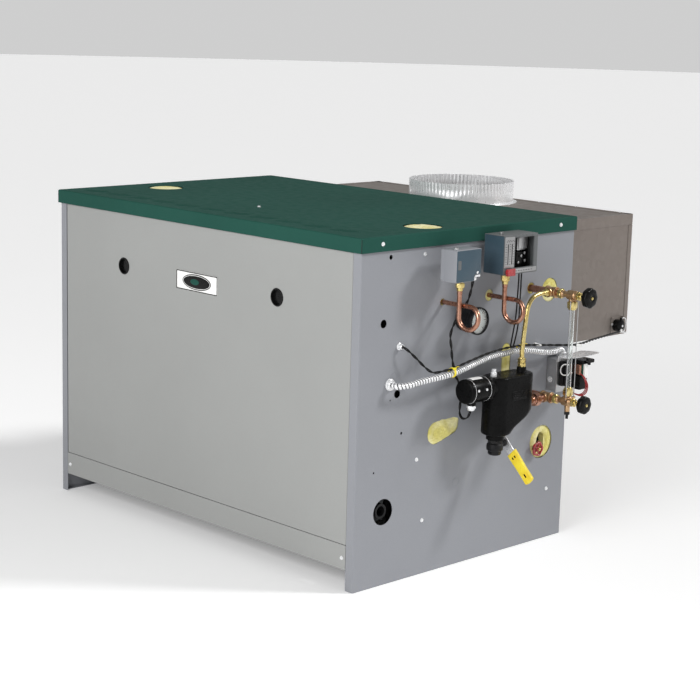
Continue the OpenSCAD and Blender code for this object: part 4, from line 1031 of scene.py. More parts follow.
def make_hookup():
    """Copper branches with cast tees, their unions, and the equalizing tube."""
    pipes, tees, unions, brasses = Shell(), Shell(), Shell(), Shell()
    stub = corners("hookup_fittings")[0][0]
    gy = GLASS[1]
    for z in COCK_Z:
        pipes.add(rod("x", (gy, z), stub, TEE_X - 12, 11.0, 0.3, 40))
        tees.add(solid("x", (gy, z), [
            (TEE_X - 20, 14.0), (TEE_X - 19, 16.6), (TEE_X - 14, 16.6), (TEE_X - 12, 14.6),
            (TEE_X + 12, 14.6), (TEE_X + 14, 16.6), (TEE_X + 19, 16.6), (TEE_X + 20, 14.0)],
            48, 0.8))
        tees.add(solid("y", (TEE_X, z), [(gy - 22, 14.2), (gy - 17, 14.6), (gy - 15.5, 12.6),
                                          (gy, 12.6)], 48, 0.8))
        pipes.add(rod("x", (gy, z), TEE_X + 12, TEE_X + 27.5, 10.6, 0.3, 40))
    low, high = COCK_Z[1], COCK_Z[0]
    pipes.add(rod("y", (TEE_X, low), 174, gy - 14, 11.0, 0.3, 40))
    brasses.add(nut("y", (TEE_X, high), gy - 32, gy - 22, 11.2))
    brasses.add(turned("y", (TEE_X, high), [(gy - 38, 6.9), (gy - 37, 8.2), (gy - 32, 9.6), (gy - 32, 6.9)],
                       28, 0.3))
    face = corners("cutoff_bowl")[1][1]
    unions.add(nut("y", (TEE_X, low), face + 0.2, 182, 15.6, turn=0.26))
    unions.add(turned("y", (TEE_X, low), [(181, 11.0), (182, 13.0), (196, 13.0), (198, 15.0), (198, 11.0)],
                      40))
    unions.add(nut("y", (TEE_X, low), 198, 218, 18.8, 8, 0.2))
    unions.add(turned("y", (TEE_X, low), [(217, 11.0), (217.5, 14.5), (221, 14.5), (224, 12.0),
                                          (226, 11.0)], 40))
    foot = corners("cutoff_bowl")[1][2]
    brasses.add(nut("z", (TEE_X, EQUAL_Y), foot + 0.2, foot + 12, 11.6, 8))
    brasses.add(nut("z", (TEE_X, EQUAL_Y), foot + 12, foot + 25, 10.8, turn=0.4))
    brasses.add(turned("z", (TEE_X, EQUAL_Y), [(foot + 24.5, 6.9), (foot + 24.5, 9.6), (foot + 28, 8.2),
                                               (foot + 29, 6.9)], 28, 0.4))
    make("branch_pipes", pipes, "copper", stands_for=["hookup_fittings"])
    make("branch_tees", tees, "bronze")
    make("branch_unions", unions, "copper")
    make("compression_nuts", brasses, "brass")
    route = smooth_route([(TEE_X, gy - 32.2, high), (TEE_X, 205, high - 1), (TEE_X, 176, 786),
                          (TEE_X, 157, 764),
                          (TEE_X, 149, 730), (TEE_X, 143, 685), (TEE_X, EQUAL_Y, 640),
                          (TEE_X, EQUAL_Y, foot + 24.2)], 10)
    make("equalizing_line", Shell(tube(route, 6.8, 24)), "brass", stands_for=["equalizing_tube"])


def make_cutoff():
    """Low-water cut-off: a float bowl whose near end runs down to the blow-down valve, with its parting
    bead, bosses and flange, and the round switch housing bolted to it."""
    n = 40
    a = np.linspace(0, math.pi, n)
    a = np.concatenate([a, a + math.pi])
    far = (np.arange(2 * n) < n).astype(float)
    q = np.linspace(0, math.pi / 2, 6)
    heights = np.concatenate([400 + 8 * (1 - np.cos(q)), np.linspace(412, 561, 32), 566 + 6 * np.sin(q)])
    pull = np.concatenate([8 * (1 - np.sin(q)), np.zeros(32), 6 * (1 - np.cos(q))])
    grow = np.clip((heights - 400) / 66, 0, 1)
    grow = grow - 0.09 * np.sin(TURN * grow)
    radius = (43.0 - grow - pull)[:, None]
    y = BOWL_Y[0] + (BOWL_Y[1] - BOWL_Y[0]) * grow[:, None] * far + radius * np.sin(a)
    x = TEE_X + radius * np.cos(a)
    bowl = Shell(place("z", heights[:, None] + 0 * a, x, y))
    bowl.add(solid("z", (TEE_X, BOWL_Y[0]), [(384, 27), (398, 27), (403, 33), (408, 33)],
                    56, 1.6, core=0.2))
    bowl.add(solid("z", (TEE_X, EQUAL_Y), [(558, 20), (570, 17), (574, 14.5), (586, 13.5)],
                    48, 1.6, core=0.2))
    bowl.add(solid("y", (TEE_X, SWITCH_Z), [(-26, 36), (-16, 36), (-14.5, 31), (0, 30), (6, 30)],
                    64, 1.4, core=0.2))
    face = corners("cutoff_bowl")[1][1]
    bowl.add(solid("y", (TEE_X, COCK_Z[1]), [(140, 24), (158, 21), (face - 3, 19), (face, 17.6)], 48, 1.4,
                   core=0.2))
    plaque = rectangle((52, 502), (118, 528), 5.0)
    bowl.add(prism("x", plaque, TEE_X + 40, TEE_X + 43.2, 0.9))
    for z in (508.5, 515, 521.5):
        bowl.add(brick((TEE_X + 42.6, 60, z - 1.1), (TEE_X + 43.9, 110, z + 1.1), 0.5, 0.5))
    for t in np.radians([45, 135, 225, 315]):
        spot = (TEE_X + 33 * math.cos(t), SWITCH_Z + 33 * math.sin(t))
        bowl.add(solid("y", spot, [(-26, 6.5), (-16, 6.5), (-15, 4)], 20, 0.8, core=0.2))
    make("float_bowl", bowl, "black_iron", stands_for=["cutoff_bowl"])
    plug = Shell(solid("z", (TEE_X, 16), [(571, 9.5), (584, 9.0), (585, 6.0)], 32),
                 nut("z", (TEE_X, 16), 584, 594, 5.6, 4))
    make("bowl_plug", plug, "bright_zinc")

    housing = Shell(solid("y", (TEE_X, SWITCH_Z), [
        (-109, 31), (-107, 34.4), (-103, 36), (-95, 36), (-94.4, 35.2), (-93.6, 35.2), (-93, 36),
        (-44, 36), (-43.4, 35.2), (-42.6, 35.2), (-42, 36), (-30, 36), (-27, 36.6), (-26.3, 36.6)],
        72, 0.5, core=0.2))
    housing.add(solid("z", (TEE_X, -76), [(500, 13), (514, 13), (518, 17)], 40, 1.6, core=0.2))
    make("switch_cover", housing, "black_iron", stands_for=["cutoff_switch_housing"])
    bright = Shell()
    for y in (-95.4, -31.0):
        bright.add(hoop("y", (TEE_X, SWITCH_Z), y, 35.8, 0.6, 96), loop=True)
    for y in (-86, -52):
        bright.add(nut("x", (y, SWITCH_Z + 6), TEE_X + 34.5, TEE_X + 37.6, 3.4))
    label = np.radians(np.linspace(70, 104, 12))
    outer = np.stack([TEE_X + 36.5 * np.cos(label), SWITCH_Z + 36.5 * np.sin(label)], 1)
    inner = np.stack([TEE_X + 35.6 * np.cos(label), SWITCH_Z + 35.6 * np.sin(label)], 1)
    make("switch_label", Shell(prism("y", np.vstack([outer, inner[::-1]]), -88, -45, 0.2)), "dial_white")
    fitting = Shell(solid("z", (TEE_X, -76), [(485, 9), (487, 10.5), (492, 10.5)], 36),
                    nut("z", (TEE_X, -76), 491, 500, 11.6))
    make("switch_trim", bright, "bright_zinc")
    make("switch_fitting", fitting, "bright_zinc")


def make_blowdown():
    """Quick-opening blow-down valve, its lever, and the yellow sleeve on the lever."""
    x, y = TEE_X, BOWL_Y[0]
    valve = Shell(nut("z", (x, y), 372, 383.9, 18.6), solid("z", (x, y), [
        (350, 20), (353, 24), (360, 25), (370, 24), (374, 20)], 48, 1.6))
    valve.add(nut("z", (x, y), 338, 352, 17.0, turn=0.3))
    valve.add(solid("y", (x, STEM_Z), [(y, 12), (56, 12), (62, 10)], 36, 1.2))
    valve.add(nut("y", (x, STEM_Z), 61, 75, 10.6))
    make("blowdown_body", valve, "dark_steel", stands_for=["blowdown_valve"])
    tilt = math.radians(45)

    def laid(outline):
        return np.stack([x + outline[:, 0] * math.cos(tilt) + outline[:, 1] * math.sin(tilt),
                         STEM_Z - outline[:, 0] * math.sin(tilt) + outline[:, 1] * math.cos(tilt)], 1)

    lever = Shell(prism("y", laid(rectangle((-18, -13), (52, 13), 6)), 79, 82, 0.6),
                  rod("y", (x, STEM_Z), 65, 94, 4.0, 0.6, 24), nut("y", (x, STEM_Z), 82, 89, 7.4, turn=0.4))
    lever.add(hoop("y", (x, STEM_Z), 82.4, 7.6, 1.1, 32, flat=0.6), loop=True)
    make("lever_plate", lever, "bright_zinc", body="blowdown_handle", stands_for=["blowdown_lever"])
    along = np.linspace(0, 1, 25)
    width = 18.5 - 2.0 * np.clip((along - 0.15) / 0.5, 0, 1) + 1.0 * along ** 4
    edge = np.stack([36 + 98 * along, width], 1)
    a = np.linspace(math.pi / 2, -math.pi / 2, 15)[1:-1]
    end = np.stack([134 + 8 * np.cos(a) ** 0.7, width[-1] * np.sin(a)], 1)
    outline = np.vstack([edge, end, edge[::-1] * (1, -1)])
    sleeve = Shell(prism("y", laid(outline), 76.3, 86.5, 3.4))
    make("lever_grip", sleeve, "yellow_vinyl", body="blowdown_handle", stands_for=["lever_sleeve"])
    # painted shade: thin black patches on both faces of the sleeve stand for the dark insides of its slots
    slots = Shell()
    for low, high, side in ((50, 58, 5.0), (50, 58, -5.0), (112, 124, 0.0)):
        for face in ((76.05, 76.7), (86.1, 86.75)):
            slots.add(prism("y", laid(rectangle((low, side - 2.4), (high, side + 2.4), 2.3)), *face, 0.1))
    make("grip_slot_shade", slots, "black_plastic", body="blowdown_handle")


def make_drain():
    """Boiler drain: brass nipple, body and spout, and a five-lobed wheel with spokes."""
    y, z = DRAIN
    body = Shell(rod("x", (y, z), 620, 664, 9.5, 0.5), solid("x", (y, z), [
        (659, 12), (663, 13.4), (669, 14.2), (684, 14.2), (688, 11)], 48, 1.4),
        nut("x", (y, z), 687, 696, 8.4), nut("x", (y, z), 652, 660, 12.2))
    body.add(rod("z", (620, y), z, 350, 9.5, 0.5))
    body.add(turned("z", (676, y), [(z - 26, 5.2), (z - 26, 8.6), (z - 22, 8.6), (z - 21, 7.8),
                                    (z - 12, 7.8),
                                    (z - 8, 10), (z, 10), (z, 5.2)], 36, 0.6))
    make("drain_body", body, "brass", stands_for=["drain_valve"])
    wheel = Shell().add(hoop("x", (y, z), 707, 20.4, 3.6, 120, lobes=5, depth=0.13, flat=1.25), loop=True)
    for t in np.arange(5) * TURN / 5:
        across, up = math.cos(t), math.sin(t)
        spoke = np.array([[707, y + r * across, z + r * up] for r in np.linspace(3, 18.5, 8)])
        wheel.add(tube(spoke, np.linspace(3.4, 2.6, 8), 14))
    wheel.add(solid("x", (y, z), [(702, 6.4), (709, 7.2), (711.5, 5.6)], 32, 1.0))
    make("drain_wheel_rim", wheel, "red_part", body="drain_wheel", stands_for=["drain_wheel"])
    stem = Shell(rod("x", (y, z), 684, 703, 3.0, 0.3, 20), nut("x", (y, z), 711, 716, 4.6),
                 rod("x", (y, z), 715.5, 718, 2.2, 0.5, 16))
    make("drain_stem", stem, "brass", body="drain_wheel")


# ---------- wiring ----------

CONDUIT = [(700, -329, 580), (722, -326, 579), (738, -300, 582), (745, -262, 588), (755, -205, 594),
           (760, -139, 600), (748, -45, 611), (736, 51, 620), (727, 187, 621), (727, 287, 604),
           (722, 345, 597), (714, 382, 597), (711, 398, 593), (711, 400, 586.2)]
LIMIT_LEAD = [(778, -97, 863.8), (775, -98, 840), (764, -98, 805), (752, -104, 780), (748, -125, 752),
              (750, -150, 712), (755, -150, 670), (757, -146, 636), (757, -139, 614)]
PRESSURE_LEADS = ([(778, 100, 867.8), (777, 102, 850), (772, 106, 800), (764, 112, 740), (752, 118, 690),
                   (738, 124, 640)],
                  [(778, 112, 867.8), (777, 113, 850), (773, 117, 800), (766, 124, 740), (754, 132, 690),
                   (736, 140, 640)])
LONG_LEAD = [(757, -139, 613), (746, -45, 625), (734, 51, 634), (726, 150, 636), (728, 200, 635),
             (733, 260, 629), (742, 330, 622), (764, 403, 619), (715, 543, 610), (662, 683, 599),
             (618, 799, 590), (611, 818, 589)]
PANEL_LEAD = [(706, -295, 684), (716, -288, 677), (726, -262, 652), (736, -232, 622), (746, -210, 608),
              (755, -180, 610), (757, -139, 613)]
SWITCH_LEAD = [(757, -139, 613), (741, -136, 606), (738, -118, 592), (731, -92, 568), (727, -76, 540),
               (728, -74, 505), (738, -86, 474), (756, -94, 462), (770, -88, 466), (771, -77, 484.8)]
RED_LEADS = [(790, 380, 540), (810, 378, 534), (824, 378, 512), (820, 378, 488), (800, 378, 474),
             (772, 380, 476)]


def pair(route, gap=2.0, r=1.9, pitch=62.0, step=2.5):
    """Two leads twisted round each other: each runs a gap from the route, at an angle that goes once
    round in every pitch of running length."""
    path = even(smooth_route(route, 12), step)
    u, v = across_path(path)
    t = (TURN * step * np.arange(len(path)) / pitch)[:, None]
    return [tube(path + s * gap * (np.cos(t) * u + np.sin(t) * v), r, 10) for s in (-1, 1)]


def make_wiring():
    """Flexible conduit with its wound ribs and a dark core that shows in their grooves as painted shade,
    the leads, their yellow ties and their white caps.
    """
    step = 0.9
    path = even(smooth_route(CONDUIT, 24), step)
    root_r, rib_height, rib_pitch = 6.6, 2.4, 9.2
    ribs = tube(path, root_r, 24, wave=lambda i, a: rib_height * np.abs(
        np.cos(math.pi * i * step / rib_pitch - a / 2)) ** 0.8)
    make("conduit_wound", Shell(ribs), "bright_zinc", stands_for=["conduit"], sharp=70)
    # painted shade: a dark tube wider than the ribs' root fills the grooves between them
    make("conduit_groove_shade", Shell(tube(even(path, 6.0), 7.8, 24)), "dark_steel")
    leads = Shell()
    for route in (LIMIT_LEAD, LONG_LEAD, SWITCH_LEAD, PANEL_LEAD):
        for strand in pair(route):
            leads.add(strand)
    for route in PRESSURE_LEADS:
        leads.add(tube(even(smooth_route(route, 12), 4.0), 2.2, 12))
    make("lead_pairs", leads, "lead_sheath", stands_for=["control_leads"])
    reds = Shell()
    for k in range(3):
        route = np.array(RED_LEADS) + (3.9 * k, 0, -1.5 * k)
        reds.add(tube(even(smooth_route(route, 12), 3.0), 1.6, 12))
    make("red_leads", reds, "red_part")
    ties = Shell()
    conduit = smooth_route(CONDUIT, 24)
    for y in TIE_Y:
        i = int(np.argmin(np.abs(conduit[:, 1] - y)))
        centre = conduit[i] + (0, 0, 4.0)
        ties.add(hoop("y", centre[[0, 2]], centre[1], 13.0, 1.6, 40, flat=2.4), loop=True)
        ties.add(brick(centre + (5, -4, 9), centre + (13, 4, 15), 1.5, 1.0))
        tail = [centre + (9, 0, 13), centre + (13, 5, 18), centre + (15, 12, 17)]
        ties.add(tube(smooth_route(tail, 5), 1.9, 10, flat=0.5))
    make("lead_ties", ties, "yellow_vinyl")
    caps = Shell()
    for base, tip in (((727, 246, 633), (737, 268, 628)), ((764, 396, 618), (775, 416, 617)),
                      ((607, 830, 592), (615, 816, 587))):
        line = np.linspace(base, tip, 12)
        width = np.interp(np.linspace(0, 1, 12), [0, 0.15, 0.85, 1], [4.4, 4.6, 2.8, 1.4])
        caps.add(tube(line, width, 18, wave=lambda i, a: 0.25 * np.cos(10 * a) + 0 * i))
    make("wire_caps", caps, "dial_white")


def make_connectors():
    """Locknuts, bushings and box connectors where the wiring enters."""
    parts = Shell(nut("x", (-329, 580), PANEL_X + 3, PANEL_X + 9, 15.0, 8),
                  turned("x", (-329, 580), [(PANEL_X + 0.1, 10.9), (PANEL_X + 0.1, 17), (PANEL_X + 3, 17),
                                            (PANEL_X + 4, 14), (701, 13), (703, 12.4), (703, 10.9)], 40,
                                            0.6),
                  nut("z", (711, 400), 573.3, 578, 14.6, 8),
                  turned("z", (711, 400), [(577, 10.9), (577, 13), (588, 13), (590, 12), (590, 10.9)], 36,
                         0.6),
                  turned("z", (778, -97), [(863.8, 3.2), (863.8, 8), (866, 9.5), (872, 9.5), (874, 8),
                                           (881.8, 8),
                                           (881.8, 3.2)], 32, 0.5))
    parts.add(ring("x", (-295, 684), [(PANEL_X + 0.1, 6.4), (PANEL_X + 0.1, 10.5), (PANEL_X + 2.5, 10.5),
                                      (PANEL_X + 4, 8.4), (704, 8.0), (706, 6.6), (705, 5.6)], 36),
                                      loop=True)
    parts.add(rod("y", (697, 595), -333, -325, 2.6, 0.5, 16))
    make("connectors", parts, "bright_zinc", stands_for=["panel_connectors"])


def make_box():
    """Junction box with its cover lip and knock-outs, the relay and transformer, and the shield above."""
    lo, hi = corners("junction_box")
    box = Shell(brick(lo, hi - (2.2, 0, 0), 2.0, 1.0),
                prism("x", rectangle(lo[1:] - 1.0, hi[1:] + 1.0, 3.0), hi[0] - 3.4, hi[0] - 0.1, 0.8))
    make("wiring_box", box, "steel", stands_for=["junction_box"])
    blanks = Shell()
    blanks.add(solid("x", (438, lo[2] + 24), [(hi[0] - 0.6, 9.5), (hi[0] + 0.35, 9.1)], 32, 0.3, core=0.2))
    blanks.add(solid("y", (706, 508), [(lo[1] - 0.9, 8.6), (lo[1] + 0.4, 9.0)], 32, 0.3, core=0.2))
    for z in (481, 563):
        blanks.add(nut("x", (405, z), hi[0] - 0.1, hi[0] + 2.8, 4.0))
    make("box_blanks", blanks, "bright_zinc")
    relay = Shell(brick((731.2, 362, 492), (747, 448, 566), 3, 1.2))
    for k in range(11):
        x = 748 + 2.8 * k
        relay.add(brick((x, 368, 492), (x + 2.5, 442, 560), 0.8, 0.4))
    make("transformer_core", relay, "dark_steel", stands_for=["relay_and_transformer"])
    turns = 44
    t = np.arange(turns * 12)
    a = TURN * t / 12
    winding = np.stack([780 + 20.0 * t / len(t), 393 + 18.4 * np.sign(np.cos(a)) * np.abs(np.cos(a)) ** 0.4,
                        550 + 16.4 * np.sign(np.sin(a)) * np.abs(np.sin(a)) ** 0.4], 1)
    coil = Shell(prism("x", rectangle((375, 534), (411, 566), 5), 778.5, 801, 2.0), tube(winding, 0.45, 6))
    make("transformer_coil", coil, "copper")
    white = Shell(brick((803, 389, 524), (810, 404, 567), 2.0, 1.0))
    loop = [(766, 364, 562), (752, 359, 560), (743, 358, 548), (744, 358, 534), (755, 359, 528),
            (772, 363, 534),
            (780, 366, 540)]
    white.add(tube(smooth_route(loop, 8), 1.8, 12))
    make("relay_body", white, "dial_white")
    make("relay_card", Shell(brick((801.2, 384, 526), (803.4, 409, 564), 1.0, 0.4)), "jacket_green")
    black = Shell(brick((778, 378, 488), (801, 414, 530), 3.0, 1.2),
                  brick((764, 380, 566.5), (806, 440, 577), 3.0, 1.2))
    for y, z in ((396, 573), (404, 567), (399, 581)):
        black.add(brick((807, y - 3.4, z - 3.0), (817, y + 3.4, z + 3.0), 1.2, 0.8))
    make("relay_spades", black, "black_plastic")
    u = np.linspace(0, 1, 40)[:, None]
    v = np.linspace(0, 1, 36)
    near, far = 356 + 76 * u ** 2, 454 - 18 * u ** 5
    low, high = 580 + 18 * u ** 2.4, 586 + 13 * u ** 0.5
    top = place("z", low + (high - low) * v, 731.4 + 93 * u + 0 * v, near + (far - near) * v)
    shield = Shell(np.concatenate([top, (top - (0, 0, 1.3))[:, ::-1]], 1))
    shield.add(brick((731.2, 356, 566.4), (733, 454, 582), 0.6, 0.4))
    make("relay_shield", shield, "bright_zinc")


def make_spill_switch():
    """Round spill switch on its bracket at the hood's side, with its wire bail and end ring."""
    x, near = corners("spill_switch")[0][:2]
    y, z = near + 25.0, 605.0
    bracket = Shell(brick((x, y - 25, 578), (x + 2.4, y + 27, 632), 3, 0.6),
                    brick((x, y + 24, 578), (x + 14, y + 27, 632), 1.2, 0.6))
    make("spill_bracket", bracket, "galvanised", stands_for=["spill_switch"])
    body = Shell(turned("x", (y, z), [(x + 2.4, 0.2), (x + 2.4, 20), (x + 14, 20), (x + 16, 18.6),
                                      (x + 17, 21),
                                      (x + 22, 21), (x + 25, 18), (x + 28, 9), (x + 28.5, 0.2)], 48, 0.8),
                 solid("z", (606, y - 3), [(622, 4.5), (632, 4.0)], 20, core=0.2))
    make("spill_body", body, "black_plastic")
    bail = [(600, y + 4, 625), (600, y + 20, 629), (598, y + 33, 620), (597, y + 35, 602),
            (599, y + 26, 586),
            (601, y + 10, 583)]
    bright = Shell(tube(smooth_route(bail, 8), 1.5, 12), nut("x", (y - 26 + 4, z + 4), x + 2.2, x + 5, 3.6),
                   nut("x", (y, z), x + 28, x + 30, 3.4))
    bright.add(hoop("z", (x + 14, y + 26), 580, 9.0, 1.6, 40), loop=True)
    make("spill_terminal", bright, "bright_zinc")


def make_coats():
    """Finishes for the CAD nodes that are shown as they are."""
    stood_for = {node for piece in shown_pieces() for node in piece.get("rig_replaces", [])}
    for node in frame["nodes"]:
        if node not in stood_for:
            coat(node)


# ---------- stage ----------

FLOOR_Z = -1.0                          # top of the floor, just under the feet, in millimetres
FLOOR_THICK = 40.0
CAMERA_AT = (4.0434, -3.7809, 1.6326)   # in metres
CAMERA_ANGLES = (45.4947, 11.2588, 1.5364)  # azimuth, elevation and roll, in degrees
KEY_AT, KEY_AIM = (2.9, 2.4, 3.3), (0.7, 0.0, 0.65)
FILL_AT, FILL_AIM = (1.6, -4.2, 2.5), (0.2, -0.4, 0.5)
KEY_ANGLE, FILL_SIZE = math.radians(11), 2.5
RAMP_FROM, RAMP_TO = 0.06, 0.45         # heights of the view direction between horizon and sky


def make_stage(props):
    """Pale floor, two soft lights, pale surroundings and the camera."""
    scene = bpy.context.scene
    a = np.linspace(0, TURN, 128, endpoint=False)
    r = np.array([0.5, 2, 6, 40.0])[:, None]
    disc = place("z", FLOOR_Z, r / MM * np.cos(a), r / MM * np.sin(a))
    shell = Shell(np.concatenate([disc, disc[::-1] - (0, 0, FLOOR_THICK)]))
    mesh = bpy.data.meshes.new("floor")
    mesh.from_pydata((np.vstack(shell.points) * MM).tolist(), [], shell.faces)
    recipe = Recipe("floor_paint", roughness=0.9, Specular_IOR_Level=0.1, Emission_Strength=0.22)
    recipe.paint(recipe.blend(recipe.noise(2.0), (0.88, 0.88, 0.88), (0.90, 0.90, 0.90)))
    mesh.materials.append(recipe.material)
    floor = bpy.data.objects.new("floor", mesh)
    scene.collection.objects.link(floor)
    floor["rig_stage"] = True

    world = bpy.data.worlds.new("surroundings")
    world.use_nodes = True
    nodes, links = world.node_tree.nodes, world.node_tree.links
    direction, split, ramp = (nodes.new("ShaderNode" + kind)
                              for kind in ("TexCoord", "SeparateXYZ", "MapRange"))
    links.new(direction.outputs["Generated"], split.inputs[0])
    links.new(split.outputs["Z"], ramp.inputs["Value"])
    for socket, number in (("From Min", RAMP_FROM), ("From Max", RAMP_TO),
                           ("To Min", props.horizon), ("To Max", props.sky)):
        ramp.inputs[socket].default_value = number
    links.new(ramp.outputs[0], nodes["Background"].inputs["Strength"])
    nodes["Background"].inputs["Color"].default_value = (1.0, 1.0, 1.0, 1.0)
    scene.world = world
    scene.view_settings.view_transform = "Standard"
    for kind, name, where, aim, size, power in (
            ("SUN", "key", KEY_AT, KEY_AIM, KEY_ANGLE, props.key),
            ("AREA", "fill", FILL_AT, FILL_AIM, FILL_SIZE, props.fill)):
        lamp = bpy.data.lights.new(name, kind)
        lamp.energy = power
        if kind == "SUN":
            lamp.angle = size
        else:
            lamp.shape, lamp.size = "DISK", size
        light = bpy.data.objects.new(name, lamp)
        light.matrix_world = aimed(where, np.array(aim) - where, 0.0)
        scene.collection.objects.link(light)

    azimuth, elevation, roll = np.radians(CAMERA_ANGLES)
    heading = np.array([-math.sin(azimuth) * math.cos(elevation), math.cos(azimuth) * math.cos(elevation),
                        -math.sin(elevation)])
    lens = bpy.data.cameras.new("camera")
    lens.sensor_width, lens.lens, lens.clip_end = 36.0, props.lens, 200.0
    camera = bpy.data.objects.new("camera", lens)
    camera.matrix_world = aimed(CAMERA_AT, heading, roll)
    scene.collection.objects.link(camera)
    scene.camera = camera


def aimed(where, heading, roll):
    """Pose of a lamp or camera that looks along a heading and is rolled about it."""
    ahead = np.array(heading) / np.linalg.norm(heading)
    level = np.cross(ahead, (0, 0, 1.0))
    level /= np.linalg.norm(level)
    up = np.cross(level, ahead)
    right = math.cos(roll) * level + math.sin(roll) * up
    top = -math.sin(roll) * level + math.cos(roll) * up
    pose = np.eye(4)
    pose[:3, 0], pose[:3, 1], pose[:3, 2], pose[:3, 3] = right, top, -ahead, where
    return Matrix(pose.tolist())


# ---------- add-on ----------

class BoilerStage(bpy.types.PropertyGroup):
    """Light levels and lens of the stage."""
    sky: bpy.props.FloatProperty(name="Sky", description="Strength of the surroundings overhead",
                                 default=0.3, min=0.0, max=4.0)
    horizon: bpy.props.FloatProperty(name="Horizon",
                                     description="Strength of the surroundings at eye level",
                                     default=0.62, min=0.0, max=4.0)
    key: bpy.props.FloatProperty(name="Key light",
                                 description="Strength of the key light from the right rear",
                                 default=1.8, min=0.0)
    fill: bpy.props.FloatProperty(name="Fill light", description="Power of the fill light from the front",
                                  default=122.0, min=0.0, unit="POWER")
    lens: bpy.props.FloatProperty(name="Lens", description="Focal length of the camera", default=91.377,
                                  min=20.0, max=200.0, unit="CAMERA")


class BOILER_OT_wool(bpy.types.Operator):
    """Adds the wool blankets and the tufts in the openings."""
    bl_idname = "boiler.wool"
    bl_label = "Insulation wool"
    bl_options = {"REGISTER", "UNDO"}

    def execute(self, context):
        make_wool()
        return {"FINISHED"}


class BOILER_OT_lid_trim(bpy.types.Operator):
    """Adds the dark joints at the lid's front corners."""
    bl_idname = "boiler.lid_trim"
    bl_label = "Lid joints"
    bl_options = {"REGISTER", "UNDO"}

    def execute(self, context):
        make_lid_trim()
        return {"FINISHED"}


class BOILER_OT_door_trim(bpy.types.Operator):
    """Adds the finger-hole grommets and the badge."""
    bl_idname = "boiler.door_trim"
    bl_label = "Door badge and grommets"
    bl_options = {"REGISTER", "UNDO"}

    def execute(self, context):
        make_door_trim()
        return {"FINISHED"}


class BOILER_OT_knockouts(bpy.types.Operator):
    """Adds the pressed knock-out rings."""
    bl_idname = "boiler.knockouts"
    bl_label = "Panel knock-outs"
    bl_options = {"REGISTER", "UNDO"}

    def execute(self, context):
        make_knockouts()
        return {"FINISHED"}


class BOILER_OT_flue(bpy.types.Operator):
    """Adds the crimped collar and the hood cover's lips."""
    bl_idname = "boiler.flue"
    bl_label = "Flue collar and hood lips"
    bl_options = {"REGISTER", "UNDO"}

    def execute(self, context):
        make_flue()
        return {"FINISHED"}


class BOILER_OT_limit(bpy.types.Operator):
    """Adds the limit control."""
    bl_idname = "boiler.limit"
    bl_label = "Limit control"
    bl_options = {"REGISTER", "UNDO"}

    def execute(self, context):
        make_limit_control()
        return {"FINISHED"}


class BOILER_OT_pressure(bpy.types.Operator):
    """Adds the pressure control's scale, window and works."""
    bl_idname = "boiler.pressure"
    bl_label = "Pressure control"
    bl_options = {"REGISTER", "UNDO"}

    def execute(self, context):
        make_pressure_control()
        return {"FINISHED"}


class BOILER_OT_siphons(bpy.types.Operator):
    """Adds the two copper pigtails and their nuts."""
    bl_idname = "boiler.siphons"
    bl_label = "Siphons"
    bl_options = {"REGISTER", "UNDO"}

    def execute(self, context):
        make_siphons()
        return {"FINISHED"}


class BOILER_OT_gauge(bpy.types.Operator):
    """Adds the pressure gauge."""
    bl_idname = "boiler.gauge"
    bl_label = "Pressure gauge"
    bl_options = {"REGISTER", "UNDO"}

    def execute(self, context):
        make_gauge()
        return {"FINISHED"}


class BOILER_OT_cocks(bpy.types.Operator):
    """Adds the gauge cocks, glass and guard rods."""
    bl_idname = "boiler.cocks"
    bl_label = "Gauge glass set"
    bl_options = {"REGISTER", "UNDO"}

    def execute(self, context):
        make_cocks()
        return {"FINISHED"}


class BOILER_OT_hookup(bpy.types.Operator):
    """Adds the copper branches and the equalizing tube."""
    bl_idname = "boiler.hookup"
    bl_label = "Branch fittings"
    bl_options = {"REGISTER", "UNDO"}

    def execute(self, context):
        make_hookup()
        return {"FINISHED"}


class BOILER_OT_cutoff(bpy.types.Operator):
    """Adds the float bowl and its switch housing."""
    bl_idname = "boiler.cutoff"
    bl_label = "Low-water cut-off"
    bl_options = {"REGISTER", "UNDO"}

    def execute(self, context):
        make_cutoff()
        return {"FINISHED"}


class BOILER_OT_blowdown(bpy.types.Operator):
    """Adds the blow-down valve, its lever and sleeve."""
    bl_idname = "boiler.blowdown"
    bl_label = "Blow-down valve"
    bl_options = {"REGISTER", "UNDO"}

    def execute(self, context):
        make_blowdown()
        return {"FINISHED"}


class BOILER_OT_drain(bpy.types.Operator):
    """Adds the boiler drain and its red wheel."""
    bl_idname = "boiler.drain"
    bl_label = "Drain valve"
    bl_options = {"REGISTER", "UNDO"}

    def execute(self, context):
        make_drain()
        return {"FINISHED"}


class BOILER_OT_wiring(bpy.types.Operator):
    """Adds the conduit, the leads and their ties."""
    bl_idname = "boiler.wiring"
    bl_label = "Conduit and leads"
    bl_options = {"REGISTER", "UNDO"}

    def execute(self, context):
        make_wiring()
        return {"FINISHED"}


class BOILER_OT_connectors(bpy.types.Operator):
    """Adds the locknuts and box connectors."""
    bl_idname = "boiler.connectors"
    bl_label = "Wiring connectors"
    bl_options = {"REGISTER", "UNDO"}

    def execute(self, context):
        make_connectors()
        return {"FINISHED"}


class BOILER_OT_box(bpy.types.Operator):
    """Adds the junction box, relay and transformer."""
    bl_idname = "boiler.box"
    bl_label = "Junction box and transformer"
    bl_options = {"REGISTER", "UNDO"}

    def execute(self, context):
        make_box()
        return {"FINISHED"}


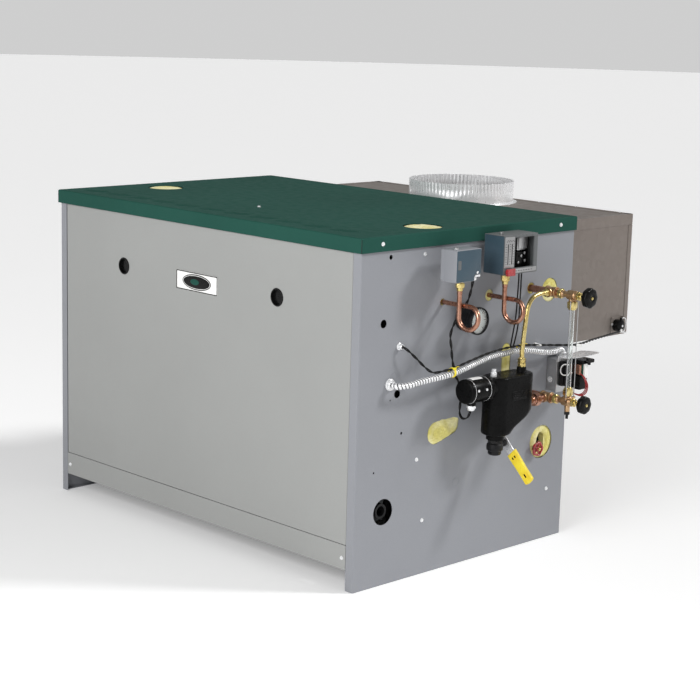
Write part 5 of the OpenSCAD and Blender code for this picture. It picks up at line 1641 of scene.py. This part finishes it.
class BOILER_OT_spill(bpy.types.Operator):
    """Adds the spill switch."""
    bl_idname = "boiler.spill"
    bl_label = "Spill switch"
    bl_options = {"REGISTER", "UNDO"}

    def execute(self, context):
        make_spill_switch()
        return {"FINISHED"}


class BOILER_OT_coats(bpy.types.Operator):
    """Gives the plain CAD pieces their finishes."""
    bl_idname = "boiler.coats"
    bl_label = "Finishes of the plain parts"
    bl_options = {"REGISTER", "UNDO"}

    def execute(self, context):
        make_coats()
        return {"FINISHED"}


class BOILER_OT_stage(bpy.types.Operator):
    """Pale floor, soft lights and the camera."""
    bl_idname = "boiler.stage"
    bl_label = "Stage"

    def execute(self, context):
        make_stage(context.scene.boiler_stage)
        return {"FINISHED"}


STEPS = (BOILER_OT_wool, BOILER_OT_lid_trim, BOILER_OT_door_trim, BOILER_OT_knockouts, BOILER_OT_flue,
         BOILER_OT_limit, BOILER_OT_pressure, BOILER_OT_siphons, BOILER_OT_gauge, BOILER_OT_cocks,
         BOILER_OT_hookup, BOILER_OT_cutoff, BOILER_OT_blowdown, BOILER_OT_drain, BOILER_OT_wiring,
         BOILER_OT_connectors, BOILER_OT_box, BOILER_OT_spill, BOILER_OT_coats, BOILER_OT_stage)


class BOILER_PT_panel(bpy.types.Panel):
    """Sidebar list of the steps."""
    bl_label = "Boiler"
    bl_idname = "BOILER_PT_panel"
    bl_space_type = "VIEW_3D"
    bl_region_type = "UI"
    bl_category = "Boiler"

    def draw(self, context):
        for each in STEPS:
            self.layout.operator(each.bl_idname, text=each.bl_label)
        for key in ("sky", "horizon", "key", "fill", "lens"):
            self.layout.prop(context.scene.boiler_stage, key)


CLASSES = (BoilerStage, *STEPS, BOILER_PT_panel)


def register():
    for each in CLASSES:
        bpy.utils.register_class(each)
    bpy.types.Scene.boiler_stage = bpy.props.PointerProperty(type=BoilerStage)


def unregister():
    del bpy.types.Scene.boiler_stage
    for each in reversed(CLASSES):
        bpy.utils.unregister_class(each)


def main():
    register()
    for each in STEPS:
        getattr(bpy.ops.boiler, each.bl_idname.split(".")[1])()
    bpy.context.view_layer.update()


if __name__ == "__main__":
    main()
